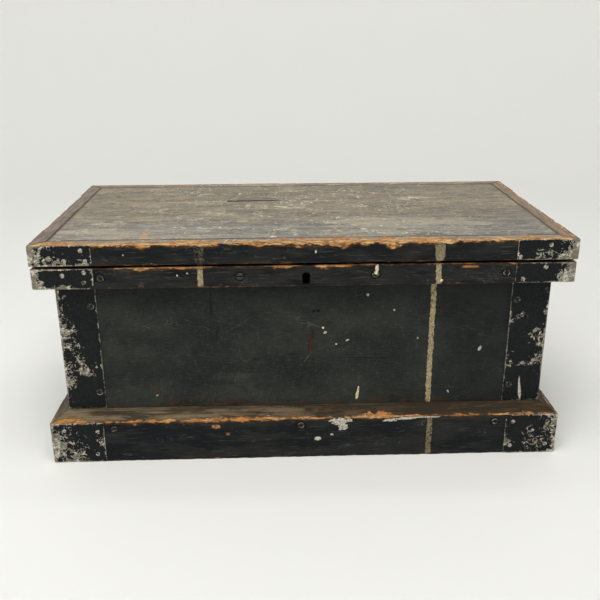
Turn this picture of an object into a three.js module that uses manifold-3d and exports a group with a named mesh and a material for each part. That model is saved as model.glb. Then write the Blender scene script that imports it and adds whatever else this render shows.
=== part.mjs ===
// A low wooden money box: a lidded chest with a coin slot in the lid, sheet-metal corner pieces,
// a bevelled plinth, a band under the lid, butt hinges at the back and a chest lock at the front.
// Millimetres, +Z up, front faces -Y. The origin is under the middle of the whole box.

import * as THREE from 'three';
import { mergeVertices } from 'three/addons/utils/BufferGeometryUtils.js';
import Module from 'manifold-3d';

const wasm = await Module();
wasm.setup();

// ---- Driving dimensions ---------------------------------------------------------------------

const OUTER_WIDTH = 508; // lid over its corner plates, along X
const OUTER_DEPTH = 271; // lid over its corner plates, along Y
const PLATE_THICKNESS = 0.8;
const ANGLE_THICKNESS = 1.0;
const FIT_GAP = 0.3; // left between pieces that touch
const MITRE_TRIM = 0.2; // taken off each end of a mitred board

const PLINTH_HEIGHT = 52; // against the body
const PLINTH_EDGE_HEIGHT = 44; // at the outer face, below the bevel
const PLINTH_INSET = 0.3; // behind the lid's outline
const BODY_INSET = 16.5; // corner angles behind the lid's outline
const WALL_THICKNESS = 16;
const BOTTOM_THICKNESS = 13;
const BOTTOM_CLEARANCE = 5; // under the bottom board

const BAND_BOTTOM = 183.5;
const BAND_HEIGHT = 20;
const BAND_INSET = 0.7;
const LID_GAP = 2.5; // between band and lid rim, where the hinge leaves lie
const RIM_HEIGHT = 20;
const RIM_SIDE_THICKNESS = 14;
const LAP_CLEARANCE = 0.7; // between the front rim and the body inside it
const LID_BOARD_THICKNESS = 13;
const LID_JOINT_FROM_FRONT = 176; // joint of the two top boards, behind the lid's front face

const COIN_SLOT = {
  left: -81.5, // square end
  knee: -31.5, // where the slot narrows to an open joint
  right: -16,
  leftWidth: 5,
  kneeWidth: 3,
};

const ANGLE_LEG = 38;
const LID_PLATE_LEG = 58;
const BAND_PLATE_LEG = 57;
const PLINTH_PLATE_LEG = 53;
const PLATE_EDGE_MARGIN = 0.4; // plate edges short of the board's edges

const SCREW = { headRadius: 4.6, headDepth: 2.9, shankRadius: 1.7, tipLength: 4, slotWidth: 1, sides: 12 };
const WOOD_SCREW_LENGTH = 24;
const ANGLE_SCREW_LENGTH = 13;
const WOOD_SCREW_SINK = 0.8; // head below the wood's face
const BAND_SCREW_X = [-190, -61.5, 65, 188];
const PLINTH_SCREW_X = [-191, -5.5, 190];
const PLINTH_SCREW_Z = 36;
const ANGLE_SCREW_X = 205;
const ANGLE_SCREW_Z = { lower: 70, upper: 161 };

const KEYHOLE = { radius: 3.8, centreZ: 193, slotWidth: 5, bottomZ: 184.6 };

const HINGE_X = 150;
const HINGE = {
  length: 60,
  leafThickness: 0.9,
  leafWidth: 14,
  barrelRadius: 2.6,
  pinRadius: 1.5,
  boreRadius: 1.58,
  pinLength: 62,
  knuckles: 3,
  knuckleGap: 0.4,
  axisBehindRim: 1.6,
  sides: 20,
};

// ---- Heights and half sizes that follow from them -------------------------------------------

const bandTop = BAND_BOTTOM + BAND_HEIGHT;
const rimBottom = bandTop + LID_GAP;
const lidTop = rimBottom + RIM_HEIGHT;
const lidBoardBottom = lidTop - LID_BOARD_THICKNESS;
const wallTop = lidBoardBottom - FIT_GAP;
const wallBottom = BOTTOM_CLEARANCE + BOTTOM_THICKNESS + FIT_GAP;

const plateAllowance = PLATE_THICKNESS + FIT_GAP;
const rimHalf = { x: OUTER_WIDTH / 2 - plateAllowance, y: OUTER_DEPTH / 2 - plateAllowance };
const bandHalf = { x: rimHalf.x - BAND_INSET, y: rimHalf.y - BAND_INSET };
const plinthHalf = { x: rimHalf.x - PLINTH_INSET, y: rimHalf.y - PLINTH_INSET };
const angleHalf = { x: OUTER_WIDTH / 2 - BODY_INSET, y: OUTER_DEPTH / 2 - BODY_INSET };
const bodyHalf = {
  x: angleHalf.x - ANGLE_THICKNESS - FIT_GAP,
  y: angleHalf.y - ANGLE_THICKNESS - FIT_GAP,
};
const aroundBodyHalf = { x: bodyHalf.x + FIT_GAP, y: bodyHalf.y + FIT_GAP };
const rimInnerHalf = { x: rimHalf.x - RIM_SIDE_THICKNESS, y: bodyHalf.y + LAP_CLEARANCE };
const lidBoardHalf = { x: rimInnerHalf.x - FIT_GAP, y: rimInnerHalf.y - FIT_GAP };
const wallInnerHalf = { x: bodyHalf.x - WALL_THICKNESS, y: bodyHalf.y - WALL_THICKNESS };
const lidJointY = LID_JOINT_FROM_FRONT - OUTER_DEPTH / 2;

const hingeAxisY = rimHalf.y + HINGE.axisBehindRim;
const hingeAxisZ = bandTop + LID_GAP / 2;
const backOverhang = hingeAxisY + HINGE.barrelRadius - OUTER_DEPTH / 2;

// ---- Materials ------------------------------------------------------------------------------

const material = (color, roughness, metalness) =>
  new THREE.MeshStandardMaterial({ color, roughness, metalness });

const blackPaint = material(0x14161a, 0.75, 0);
const bodyPaint = material(0x171b1c, 0.8, 0);
const wornTop = material(0x5a5142, 0.8, 0);
const bareWood = material(0xa9845a, 0.85, 0);
const paintedMetal = material(0x23231f, 0.55, 0.6);
const ironWork = material(0x3a3733, 0.5, 0.9);

// ---- Solids ---------------------------------------------------------------------------------

function toSolid(geometry) {
  const bare = geometry.clone();
  bare.deleteAttribute('normal');
  bare.deleteAttribute('uv');
  const merged = mergeVertices(bare, 1e-4);
  const vertProperties = Float32Array.from(merged.attributes.position.array);
  const triVerts = Uint32Array.from(merged.index.array);
  return new wasm.Manifold(new wasm.Mesh({ numProp: 3, vertProperties, triVerts }));
}

function toGeometry(solid) {
  const { vertProperties, triVerts } = solid.getMesh();
  const geometry = new THREE.BufferGeometry();
  geometry.setAttribute('position', new THREE.BufferAttribute(vertProperties, 3));
  geometry.setIndex(new THREE.BufferAttribute(triVerts, 1));
  geometry.computeVertexNormals();
  return geometry;
}

function cut(geometry, tools) {
  let solid = toSolid(geometry);
  for (const tool of tools) {
    solid = solid.subtract(toSolid(tool));
  }
  return toGeometry(solid);
}

function join(geometries) {
  let solid = toSolid(geometries[0]);
  for (const geometry of geometries.slice(1)) {
    solid = solid.add(toSolid(geometry));
  }
  return toGeometry(solid);
}

// A rectangular block between two limits on each axis.
function block([x0, x1], [y0, y1], [z0, z1]) {
  const geometry = new THREE.BoxGeometry(x1 - x0, y1 - y0, z1 - z0);
  return geometry.translate((x0 + x1) / 2, (y0 + y1) / 2, (z0 + z1) / 2);
}

// A block that is symmetrical about X = centre.
function centredBlock(halfWidth, yLimits, zLimits, centre = 0) {
  return block([centre - halfWidth, centre + halfWidth], yLimits, zLimits);
}

// An outline in plan, drawn up from one height to another.
function planPrism(points, bottom, top) {
  const shape = new THREE.Shape(points.map(([x, y]) => new THREE.Vector2(x, y)));
  const geometry = new THREE.ExtrudeGeometry(shape, { depth: top - bottom, bevelEnabled: false });
  return geometry.translate(0, 0, bottom);
}

// A cylinder along X.
function rodAlongX(radius, length, centre, sides) {
  const geometry = new THREE.CylinderGeometry(radius, radius, length, sides);
  return geometry.rotateZ(Math.PI / 2).translate(centre.x, centre.y, centre.z);
}

// The front board of a mitred frame. Its outer face is the wider one, and its top may slope
// from topInner, at the inner face, to topOuter.
function mitredFront(outer, inner, bottom, topOuter, topInner = topOuter) {
  const geometry = new THREE.BoxGeometry(2, 2, 2);
  const position = geometry.attributes.position;
  for (let i = 0; i < position.count; i += 1) {
    const side = Math.sign(position.getX(i));
    const isInner = position.getY(i) > 0;
    const isTop = position.getZ(i) > 0;
    const corner = isInner ? inner : outer;
    const top = isInner ? topInner : topOuter;
    position.setXYZ(i, side * (corner.x - MITRE_TRIM), -corner.y, isTop ? top : bottom);
  }
  return geometry;
}

// The four boards of a mitred frame, as front, right, back and left.
function mitredFrame(outer, inner, bottom, topOuter, topInner) {
  const swap = ({ x, y }) => ({ x: y, y: x });
  const along = mitredFront(outer, inner, bottom, topOuter, topInner);
  const across = mitredFront(swap(outer), swap(inner), bottom, topOuter, topInner);
  return {
    front: along,
    right: across.clone().rotateZ(Math.PI / 2),
    back: along.clone().rotateZ(Math.PI),
    left: across.clone().rotateZ(-Math.PI / 2),
  };
}

// An L-shaped sheet wrapped round one upright corner, with its inner faces at half.x and half.y.
function cornerSheet(half, thickness, leg, side, end, bottom, top) {
  const outerX = half.x + thickness;
  const outerY = half.y + thickness;
  const outline = [
    [outerX, outerY],
    [outerX - leg, outerY],
    [outerX - leg, half.y],
    [half.x, half.y],
    [half.x, outerY - leg],
    [outerX, outerY - leg],
  ];
  return planPrism(outline.map(([x, y]) => [side * x, end * y]), bottom, top);
}

// ---- Screws ---------------------------------------------------------------------------------

// Turns a profile that points up the Y axis so that it points out of the front, at a place.
function faceFront(geometry, { x, y, z }) {
  return geometry.rotateX(Math.PI).translate(x, y, z);
}

function lathe(points) {
  return new THREE.LatheGeometry(points.map(([r, h]) => new THREE.Vector2(r, h)), SCREW.sides);
}

// A slotted countersunk screw whose head is flush at its place and points to -Y.
function screwSolid(place, length, slotAngle) {
  const { headRadius, headDepth, shankRadius, tipLength, slotWidth } = SCREW;
  const body = lathe([
    [0, -length],
    [shankRadius, tipLength - length],
    [shankRadius, -headDepth],
    [headRadius, 0],
    [0, 0],
  ]);
  const slot = new THREE.BoxGeometry(3 * headRadius, 2 * slotWidth, slotWidth);
  return faceFront(cut(body, [slot.rotateY(slotAngle)]), place);
}

// The hole that such a screw needs, with clearance all round and an open mouth.
function screwHole(place, length) {
  const { headRadius, headDepth, shankRadius, tipLength } = SCREW;
  const mouth = 2 * headDepth;
  const hole = lathe([
    [0, -length - 2 * FIT_GAP],
    [shankRadius + FIT_GAP, tipLength - length - FIT_GAP],
    [shankRadius + FIT_GAP, -headDepth],
    [headRadius + FIT_GAP, -FIT_GAP / 2],
    [headRadius + FIT_GAP, mouth],
    [0, mouth],
  ]);
  return faceFront(hole, place);
}

const screws = [];

BAND_SCREW_X.forEach((x, index) => {
  const place = { x, y: WOOD_SCREW_SINK - bandHalf.y, z: BAND_BOTTOM + BAND_HEIGHT / 2 };
  const name = `band_screw_${index + 1}`;
  screws.push({ name, place, length: WOOD_SCREW_LENGTH, slotAngle: index * 0.9 });
});

PLINTH_SCREW_X.forEach((x, index) => {
  const place = { x, y: WOOD_SCREW_SINK - plinthHalf.y, z: PLINTH_SCREW_Z };
  const name = `plinth_screw_${index + 1}`;
  screws.push({ name, place, length: WOOD_SCREW_LENGTH, slotAngle: index * 0.7 });
});

for (const [sideName, side] of [['left', -1], ['right', 1]]) {
  for (const [levelName, z] of Object.entries(ANGLE_SCREW_Z)) {
    const place = { x: side * ANGLE_SCREW_X, y: -angleHalf.y, z };
    const name = `angle_screw_${sideName}_${levelName}`;
    screws.push({ name, place, length: ANGLE_SCREW_LENGTH, slotAngle: z });
  }
}

const screwHoles = (prefix) =>
  screws.filter(({ name }) => name.startsWith(prefix)).map(({ place, length }) => screwHole(place, length));

// ---- Lock -----------------------------------------------------------------------------------

const lockOuter = { halfWidth: 32, bottom: 176, depth: 8, wall: 1.2 };
const lockFrontY = -wallInnerHalf.y - 1.7 - lockOuter.depth;
const lockBackY = lockFrontY + lockOuter.depth;
const lockTop = wallTop - 0.5;
const coverHalfWidth = 36;
const coverBottom = 172;
const coverThickness = 1.2;
const coverY = [lockBackY + FIT_GAP, lockBackY + FIT_GAP + coverThickness];

const staple = { x: 16, halfWidth: 1.5, y: [-109.2, -104.2], bottom: 202.4, eyeZ: [204, 208.8] };
const stapleEyeMargin = 1;
const tongueZ = [204.4, 208.4];
const boltY = [-107.9, -105.5];
const boltBarZ = [197.5, 202];

const linkPlate = { halfWidth: 30, y: [-116.2, -103.2], bottom: lidBoardBottom + 0.2, thickness: 1.5 };

// A hole of keyhole outline, round at the top, along Y.
function keyholeTool(y0, y1) {
  const { radius, centreZ, slotWidth, bottomZ } = KEYHOLE;
  const round = new THREE.CylinderGeometry(radius, radius, y1 - y0, 20);
  round.translate(0, (y0 + y1) / 2, centreZ);
  const straight = centredBlock(slotWidth / 2, [y0, y1], [bottomZ, centreZ]);
  return join([round, straight]);
}

function lockCase() {
  const { halfWidth, bottom, wall } = lockOuter;
  const shell = centredBlock(halfWidth, [lockFrontY, lockBackY], [bottom, lockTop]);
  const inside = centredBlock(
    halfWidth - wall,
    [lockFrontY + wall, lockBackY + 1],
    [bottom + wall, lockTop - wall],
  );
  const stapleWays = [-1, 1].map((side) =>
    centredBlock(
      staple.halfWidth + 0.8,
      [staple.y[0] - 0.6, lockBackY + 1],
      [lockTop - 2 * wall, lockTop + 1],
      side * staple.x,
    ),
  );
  const ledgeY = [lockFrontY + wall / 2, lockBackY];
  const ledgeZ = [boltBarZ[0] - 2.3, boltBarZ[0] - FIT_GAP];
  const ledges = [
    block([-halfWidth + wall / 2, -15], ledgeY, ledgeZ),
    block([10, halfWidth - wall / 2], ledgeY, ledgeZ),
  ];
  const hollow = cut(shell, [inside, ...stapleWays, keyholeTool(lockFrontY - 1, lockFrontY + 3)]);
  return join([hollow, ...ledges]);
}

// The bolt: a bar with two upright hooks whose tongues point to +X, and a notch for the key.
function lockBolt() {
  const outline = [
    [-29, boltBarZ[0]],
    [-14, boltBarZ[0]],
    [-14, boltBarZ[0] + 2],
    [-8, boltBarZ[0] + 2],
    [-8, boltBarZ[0]],
    [14, boltBarZ[0]],
    [14, boltBarZ[1]],
    [7, boltBarZ[1]],
    [7, tongueZ[0]],
    [13.5, tongueZ[0]],
    [13.5, tongueZ[1]],
    [3, tongueZ[1]],
    [3, boltBarZ[1]],
    [-25, boltBarZ[1]],
    [-25, tongueZ[0]],
    [-18.5, tongueZ[0]],
    [-18.5, tongueZ[1]],
    [-29, tongueZ[1]],
  ];
  const shape = new THREE.Shape(outline.map(([x, z]) => new THREE.Vector2(x, z)));
  const thickness = boltY[1] - boltY[0];
  const geometry = new THREE.ExtrudeGeometry(shape, { depth: thickness, bevelEnabled: false });
  return geometry.rotateX(Math.PI / 2).translate(0, boltY[1], 0);
}

function lockLinkPlate() {
  const { halfWidth, y, bottom, thickness } = linkPlate;
  const plate = centredBlock(halfWidth, y, [bottom, bottom + thickness]);
  const loops = [-1, 1].map((side) =>
    centredBlock(staple.halfWidth, staple.y, [staple.bottom, bottom + 0.5], side * staple.x),
  );
  const eyes = [-1, 1].map((side) =>
    centredBlock(
      3 * staple.halfWidth,
      [staple.y[0] + stapleEyeMargin, staple.y[1] - stapleEyeMargin],
      staple.eyeZ,
      side * staple.x,
    ),
  );
  return cut(join([plate, ...loops]), eyes);
}

// ---- Hinges ---------------------------------------------------------------------------------

// The knuckles of one leaf: every second stretch of the barrel, starting at the given one.
function knuckleStretches(first) {
  const pitch = HINGE.length / HINGE.knuckles;
  const stretches = [];
  for (let i = first; i < HINGE.knuckles; i += 2) {
    stretches.push((i + 0.5) * pitch - HINGE.length / 2);
  }
  return { centres: stretches, length: pitch - HINGE.knuckleGap };
}

function barrelPieces(first, hingeX, radius, extraLength) {
  const { centres, length } = knuckleStretches(first);
  return centres.map((offset) => {
    const centre = { x: hingeX + offset, y: hingeAxisY, z: hingeAxisZ };
    return rodAlongX(radius, length + extraLength, centre, HINGE.sides);
  });
}

// One leaf with its knuckles; below the axis for the band, above it for the lid.
function hingeLeaf(hingeX, isLid) {
  const own = isLid ? 1 : 0;
  const other = 1 - own;
  const side = isLid ? 1 : -1;
  const near = hingeAxisZ + side * (FIT_GAP / 2);
  const far = near + side * HINGE.leafThickness;
  const zLimits = [Math.min(near, far), Math.max(near, far)];
  const plate = centredBlock(
    HINGE.length / 2 - HINGE.knuckleGap / 2,
    [hingeAxisY - HINGE.leafWidth, hingeAxisY],
    zLimits,
    hingeX,
  );
  const clearRadius = HINGE.barrelRadius + FIT_GAP;
  const clearance = barrelPieces(other, hingeX, clearRadius, 2 * HINGE.knuckleGap);
  const solid = join([cut(plate, clearance), ...barrelPieces(own, hingeX, HINGE.barrelRadius, 0)]);
  const bore = rodAlongX(
    HINGE.boreRadius,
    2 * HINGE.length,
    { x: hingeX, y: hingeAxisY, z: hingeAxisZ },
    HINGE.sides,
  );
  return cut(solid, [bore]);
}

function hingePin(hingeX) {
  const centre = { x: hingeX, y: hingeAxisY, z: hingeAxisZ };
  return rodAlongX(HINGE.pinRadius, HINGE.pinLength, centre, HINGE.sides);
}

// Room for the barrels in the back edges of the band and the lid rim.
const barrelRecesses = [-1, 1].map((side) => {
  const centre = { x: side * HINGE_X, y: hingeAxisY, z: hingeAxisZ };
  return rodAlongX(HINGE.barrelRadius + FIT_GAP, HINGE.pinLength + 4 * FIT_GAP, centre, HINGE.sides);
});

// ---- Assembly -------------------------------------------------------------------------------

const moneyBox = new THREE.Group();
moneyBox.position.y = -backOverhang / 2;

function addPiece(name, geometry, pieceMaterial) {
  const mesh = new THREE.Mesh(geometry, pieceMaterial);
  mesh.name = name;
  moneyBox.add(mesh);
}

const CORNERS = [
  ['front_left', -1, -1],
  ['front_right', 1, -1],
  ['back_left', -1, 1],
  ['back_right', 1, 1],
];

function addCornerSheets(prefix, half, thickness, leg, bottom, top) {
  const innerHalf = { x: half.x + FIT_GAP, y: half.y + FIT_GAP };
  for (const [cornerName, side, end] of CORNERS) {
    const sheet = cornerSheet(innerHalf, thickness, leg, side, end, bottom, top);
    const isDrilled = prefix === 'corner_angle' && end < 0;
    const geometry = isDrilled ? cut(sheet, screwHoles('angle')) : sheet;
    addPiece(`${prefix}_${cornerName}`, geometry, paintedMetal);
  }
}

// Body: four walls standing on the bottom board.
const wallHeights = [wallBottom, wallTop];
const longWall = (yLimits) => centredBlock(bodyHalf.x, yLimits, wallHeights);
const lockRecesses = [
  centredBlock(
    lockOuter.halfWidth + FIT_GAP,
    [lockFrontY - FIT_GAP, 0],
    [lockOuter.bottom - FIT_GAP, wallTop + 1],
  ),
  centredBlock(coverHalfWidth + FIT_GAP, [lockBackY, 0], [coverBottom - FIT_GAP, wallTop + 1]),
];
const frontCuts = [...lockRecesses, keyholeTool(-bodyHalf.y - 1, lockFrontY + 1), ...screwHoles('')];
addPiece('front_board', cut(longWall([-bodyHalf.y, -wallInnerHalf.y]), frontCuts), bodyPaint);
addPiece('back_board', longWall([wallInnerHalf.y, bodyHalf.y]), bodyPaint);
for (const [sideName, side] of [['left', -1], ['right', 1]]) {
  const centreX = side * (bodyHalf.x - WALL_THICKNESS / 2);
  const reach = wallInnerHalf.y - FIT_GAP;
  const geometry = centredBlock(WALL_THICKNESS / 2, [-reach, reach], wallHeights, centreX);
  addPiece(`${sideName}_end_board`, geometry, bodyPaint);
}
const bottomHeights = [BOTTOM_CLEARANCE, BOTTOM_CLEARANCE + BOTTOM_THICKNESS];
const bottomBoard = centredBlock(bodyHalf.x, [-bodyHalf.y, bodyHalf.y], bottomHeights);
addPiece('bottom_board', cut(bottomBoard, screwHoles('plinth')), bareWood);
addCornerSheets(
  'corner_angle',
  bodyHalf,
  ANGLE_THICKNESS,
  ANGLE_LEG,
  PLINTH_HEIGHT + FIT_GAP,
  BAND_BOTTOM - FIT_GAP,
);

// Plinth.
const plinth = mitredFrame(plinthHalf, aroundBodyHalf, 0, PLINTH_EDGE_HEIGHT, PLINTH_HEIGHT);
plinth.front = cut(plinth.front, screwHoles('plinth'));
for (const [sideName, geometry] of Object.entries(plinth)) {
  addPiece(`plinth_${sideName}`, geometry, blackPaint);
}
addCornerSheets(
  'plinth_plate',
  plinthHalf,
  PLATE_THICKNESS,
  PLINTH_PLATE_LEG,
  PLATE_EDGE_MARGIN,
  PLINTH_EDGE_HEIGHT - PLATE_EDGE_MARGIN,
);

// Band under the lid.
const band = mitredFrame(bandHalf, aroundBodyHalf, BAND_BOTTOM, bandTop);
const throughBand = keyholeTool(-bandHalf.y - 1, -aroundBodyHalf.y + 1);
band.front = cut(band.front, [throughBand, ...screwHoles('band')]);
band.back = cut(band.back, barrelRecesses);
for (const [sideName, geometry] of Object.entries(band)) {
  addPiece(`band_${sideName}`, geometry, blackPaint);
}
addCornerSheets(
  'band_plate',
  bandHalf,
  PLATE_THICKNESS,
  BAND_PLATE_LEG,
  BAND_BOTTOM + PLATE_EDGE_MARGIN,
  bandTop - PLATE_EDGE_MARGIN,
);

// Lid: two boards, with the coin slot cut in the back edge of the front one, inside a rim.
const { left, knee, right, leftWidth, kneeWidth } = COIN_SLOT;
const frontBoardEdge = lidJointY - FIT_GAP / 2;
const frontBoardOutline = [
  [-lidBoardHalf.x, -lidBoardHalf.y],
  [lidBoardHalf.x, -lidBoardHalf.y],
  [lidBoardHalf.x, frontBoardEdge],
  [right, frontBoardEdge],
  [knee, frontBoardEdge + FIT_GAP - kneeWidth],
  [left, frontBoardEdge + FIT_GAP - leftWidth],
  [left, frontBoardEdge],
  [-lidBoardHalf.x, frontBoardEdge],
];
const linkRecess = centredBlock(
  linkPlate.halfWidth + FIT_GAP,
  [linkPlate.y[0] - FIT_GAP, linkPlate.y[1] + FIT_GAP],
  [lidBoardBottom - 1, linkPlate.bottom + linkPlate.thickness + FIT_GAP],
);
const frontLidBoard = planPrism(frontBoardOutline, lidBoardBottom, lidTop);
addPiece('lid_board_front', cut(frontLidBoard, [linkRecess]), wornTop);
const rearBoardY = [lidJointY + FIT_GAP / 2, lidBoardHalf.y];
const rearLidBoard = centredBlock(lidBoardHalf.x, rearBoardY, [lidBoardBottom, lidTop]);
addPiece('lid_board_rear', rearLidBoard, wornTop);

const rim = mitredFrame(rimHalf, rimInnerHalf, rimBottom, lidTop);
rim.back = cut(rim.back, barrelRecesses);
for (const [sideName, geometry] of Object.entries(rim)) {
  addPiece(`lid_rim_${sideName}`, geometry, blackPaint);
}
addCornerSheets(
  'lid_plate',
  rimHalf,
  PLATE_THICKNESS,
  LID_PLATE_LEG,
  rimBottom + PLATE_EDGE_MARGIN,
  lidTop - PLATE_EDGE_MARGIN,
);

// Hinges.
for (const [sideName, side] of [['left', -1], ['right', 1]]) {
  addPiece(`hinge_${sideName}_band_leaf`, hingeLeaf(side * HINGE_X, false), ironWork);
  addPiece(`hinge_${sideName}_lid_leaf`, hingeLeaf(side * HINGE_X, true), ironWork);
  addPiece(`hinge_${sideName}_pin`, hingePin(side * HINGE_X), ironWork);
}

// Lock.
addPiece('lock_case', lockCase(), ironWork);
addPiece('lock_cover', centredBlock(coverHalfWidth, coverY, [coverBottom, lockTop]), ironWork);
addPiece('lock_bolt', lockBolt(), ironWork);
addPiece('lock_link_plate', lockLinkPlate(), ironWork);

// Screws.
for (const { name, place, length, slotAngle } of screws) {
  addPiece(name, screwSolid(place, length, slotAngle), ironWork);
}

export default moneyBox;
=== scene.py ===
"""A black-painted wooden money box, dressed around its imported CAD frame.

Lengths named here are in millimetres. The frame and every Blender object are in metres.
"""

import itertools
import math

import bmesh
import bpy
import numpy as np
from mathutils import Matrix, Vector


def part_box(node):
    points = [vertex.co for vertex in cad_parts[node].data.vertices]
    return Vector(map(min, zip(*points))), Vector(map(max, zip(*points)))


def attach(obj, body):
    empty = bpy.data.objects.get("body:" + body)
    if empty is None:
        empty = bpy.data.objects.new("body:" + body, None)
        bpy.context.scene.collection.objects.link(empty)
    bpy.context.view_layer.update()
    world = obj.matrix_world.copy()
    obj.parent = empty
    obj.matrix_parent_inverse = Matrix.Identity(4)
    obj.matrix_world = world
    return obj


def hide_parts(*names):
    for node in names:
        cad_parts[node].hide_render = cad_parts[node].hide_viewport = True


MM = 0.001
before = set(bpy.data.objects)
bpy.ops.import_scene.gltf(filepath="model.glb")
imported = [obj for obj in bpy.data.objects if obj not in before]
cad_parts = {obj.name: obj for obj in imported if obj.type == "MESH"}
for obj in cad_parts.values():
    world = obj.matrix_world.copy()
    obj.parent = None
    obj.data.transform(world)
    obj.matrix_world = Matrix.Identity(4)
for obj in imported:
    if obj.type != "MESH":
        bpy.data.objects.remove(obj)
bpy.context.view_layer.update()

# ---- Camera, floor and light ----------------------------------------------------------------

CAMERA_PLACE = (-27.4, -804.9, 416.2)
CAMERA_LENS = 45.65
CAMERA_YAW, CAMERA_PITCH, CAMERA_ROLL = 1.84, 20.2, -0.26  # degrees: to the right, down, anticlockwise


def make_camera():
    data = bpy.data.cameras.new("camera")
    data.lens = CAMERA_LENS
    data.sensor_width = 36
    data.clip_start = 0.02
    camera = bpy.data.objects.new("camera", data)
    turn = Matrix.Rotation(math.radians(-CAMERA_YAW), 4, "Z")
    tilt = Matrix.Rotation(math.radians(90 - CAMERA_PITCH), 4, "X")
    roll = Matrix.Rotation(math.radians(CAMERA_ROLL), 4, "Z")
    camera.matrix_world = Matrix.Translation(Vector(CAMERA_PLACE) * MM) @ turn @ tilt @ roll
    bpy.context.scene.collection.objects.link(camera)
    bpy.context.scene.camera = camera


def make_area_light(name, place, target, size, watts, colour):
    data = bpy.data.lights.new(name, "AREA")
    data.shape = "RECTANGLE"
    data.size, data.size_y = size
    data.energy = watts
    data.color = colour
    lamp = bpy.data.objects.new(name, data)
    lamp.location = place
    lamp.rotation_mode = "QUATERNION"
    lamp.rotation_quaternion = (Vector(target) - Vector(place)).to_track_quat("-Z", "Y")
    bpy.context.scene.collection.objects.link(lamp)


def ring_faces(around, rings, first=1):
    """Quads between each ring of points and the next, where the first ring starts at point `first`."""
    faces = []
    for start in range(first, first + (rings - 1) * around, around):
        for i in range(around):
            a, b = start + i, start + (i + 1) % around
            faces.append((a, a + around, b + around, b))
    return faces


def make_sweep():
    """A pale round sweep: a flat floor that curves up into a wall all round."""
    floor_radius, curve_radius, wall_top = 1.25, 0.9, 2.6
    profile = [(0.05, 0), (0.6, 0), (floor_radius, 0)]
    for step in range(1, 13):
        angle = step / 12 * math.pi / 2
        out = floor_radius + curve_radius * math.sin(angle)
        profile.append((out, curve_radius * (1 - math.cos(angle))))
    profile.append((floor_radius + curve_radius, wall_top))
    mesh = bpy.data.meshes.new("studio_sweep")
    around = 72
    points = [(0, 0, 0)]
    for radius, height in profile:
        for i in range(around):
            angle = i / around * math.tau
            points.append((radius * math.cos(angle), radius * math.sin(angle), height))
    faces = [(0, 1 + i, 1 + (i + 1) % around) for i in range(around)]
    mesh.from_pydata(points, [], faces + ring_faces(around, len(profile)))
    mesh.shade_smooth()
    sweep = bpy.data.objects.new("studio_sweep", mesh)
    bpy.context.scene.collection.objects.link(sweep)
    material = bpy.data.materials.new("studio_white")
    material.use_nodes = True
    shader = material.node_tree.nodes["Principled BSDF"]
    shader.inputs["Base Color"].default_value = (0.84, 0.84, 0.815, 1)
    shader.inputs["Roughness"].default_value = 0.7
    mesh.materials.append(material)


def make_light():
    """A dim sky and three soft lamps."""
    world = bpy.data.worlds.new("studio_air")
    world.use_nodes = True
    world.node_tree.nodes["Background"].inputs["Color"].default_value = (0.92, 0.95, 1, 1)
    world.node_tree.nodes["Background"].inputs["Strength"].default_value = 0.07
    bpy.context.scene.world = world
    make_area_light("overhead", (-0.1, -0.7, 1.8), (0, 0.1, 0.1), (1.6, 1.2), 28, (1, 0.99, 0.97))
    make_area_light("backdrop_wash", (0, 0.5, 2.3), (0, 2.2, 1.0), (2.4, 0.6), 13, (1, 1, 1))
    make_area_light("front_fill", (-1.2, -1.6, 1.3), (0, 0, 0.1), (1.0, 0.8), 10, (0.97, 0.98, 1))
    bpy.context.scene.view_settings.view_transform = "Standard"


make_camera()
make_sweep()
make_light()

# ---- Numbers: smooth noise and wear along an edge -------------------------------------------

NOISE_TABLE = np.random.default_rng(11).uniform(-1, 1, 4096)
NOISE_PRIMES = (73856093, 19349663, 83492791)


def noise(seed, *coordinates):
    """Smooth noise from -1 to 1 at arrays of points, whose coordinates are in noise cells."""
    cells = [np.floor(c).astype(np.int64) for c in coordinates]
    fades = [(c - f) ** 2 * (3 - 2 * (c - f)) for c, f in zip(coordinates, cells)]
    total = 0.0
    for corner in itertools.product((0, 1), repeat=len(coordinates)):
        weight = 1.0
        key = np.int64(seed * 7919)
        for cell, fade, step, prime in zip(cells, fades, corner, NOISE_PRIMES):
            weight = weight * (fade if step else 1 - fade)
            key = key ^ ((cell + step) * prime)
        total = total + weight * NOISE_TABLE[(key ^ (key >> 9)) % 4096]
    return total


class Wear:
    """How far an arris is worn, in mm, along its length.

    radius is how round it is; upper and lower are how far bare wood reaches from it over the face
    above or beside it. patches are (centre, half length, extra radius, extra upper, extra lower).
    """

    def __init__(self, radius=0.6, upper=0.0, lower=0.0, ragged=0.35, patches=(), seed=1):
        self.radius, self.upper, self.lower = radius, upper, lower
        self.ragged, self.patches, self.seed = ragged, patches, seed

    def at(self, s):
        slow = noise(self.seed, s / 38)
        quick = noise(self.seed + 50, s / 7)
        fine = noise(self.seed + 90, s / 2.6)
        rough = 1 + self.ragged * (slow + 0.8 * quick + 0.5 * fine)
        result = [value * rough for value in (self.radius, self.upper, self.lower)]
        for centre, half_length, *extras in self.patches:
            share = np.exp(-(((s - centre) / half_length) ** 4))
            share = share * (1 + 0.4 * quick + 0.3 * fine)
            for i, extra in enumerate(extras):
                result[i] = result[i] + share * extra
        radius, upper, lower = result
        return np.clip(radius, 0.15, None), upper, lower


# ---- Meshes on a lattice --------------------------------------------------------------------


def rows(length, spacing, edge_rows=(0.35, 0.75, 1.25, 1.9, 2.8, 4.2)):
    """Places from 0 to length, close together near both ends and `spacing` apart between."""
    near = [r for r in edge_rows if r < length / 2 - 0.3]
    last = near[-1] if near else 0
    count = max(1, round((length - 2 * last) / spacing))
    middle = np.linspace(last, length - last, count + 1)
    return np.unique(np.concatenate([[0], near, middle, [length - r for r in near], [length]]))


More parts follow.
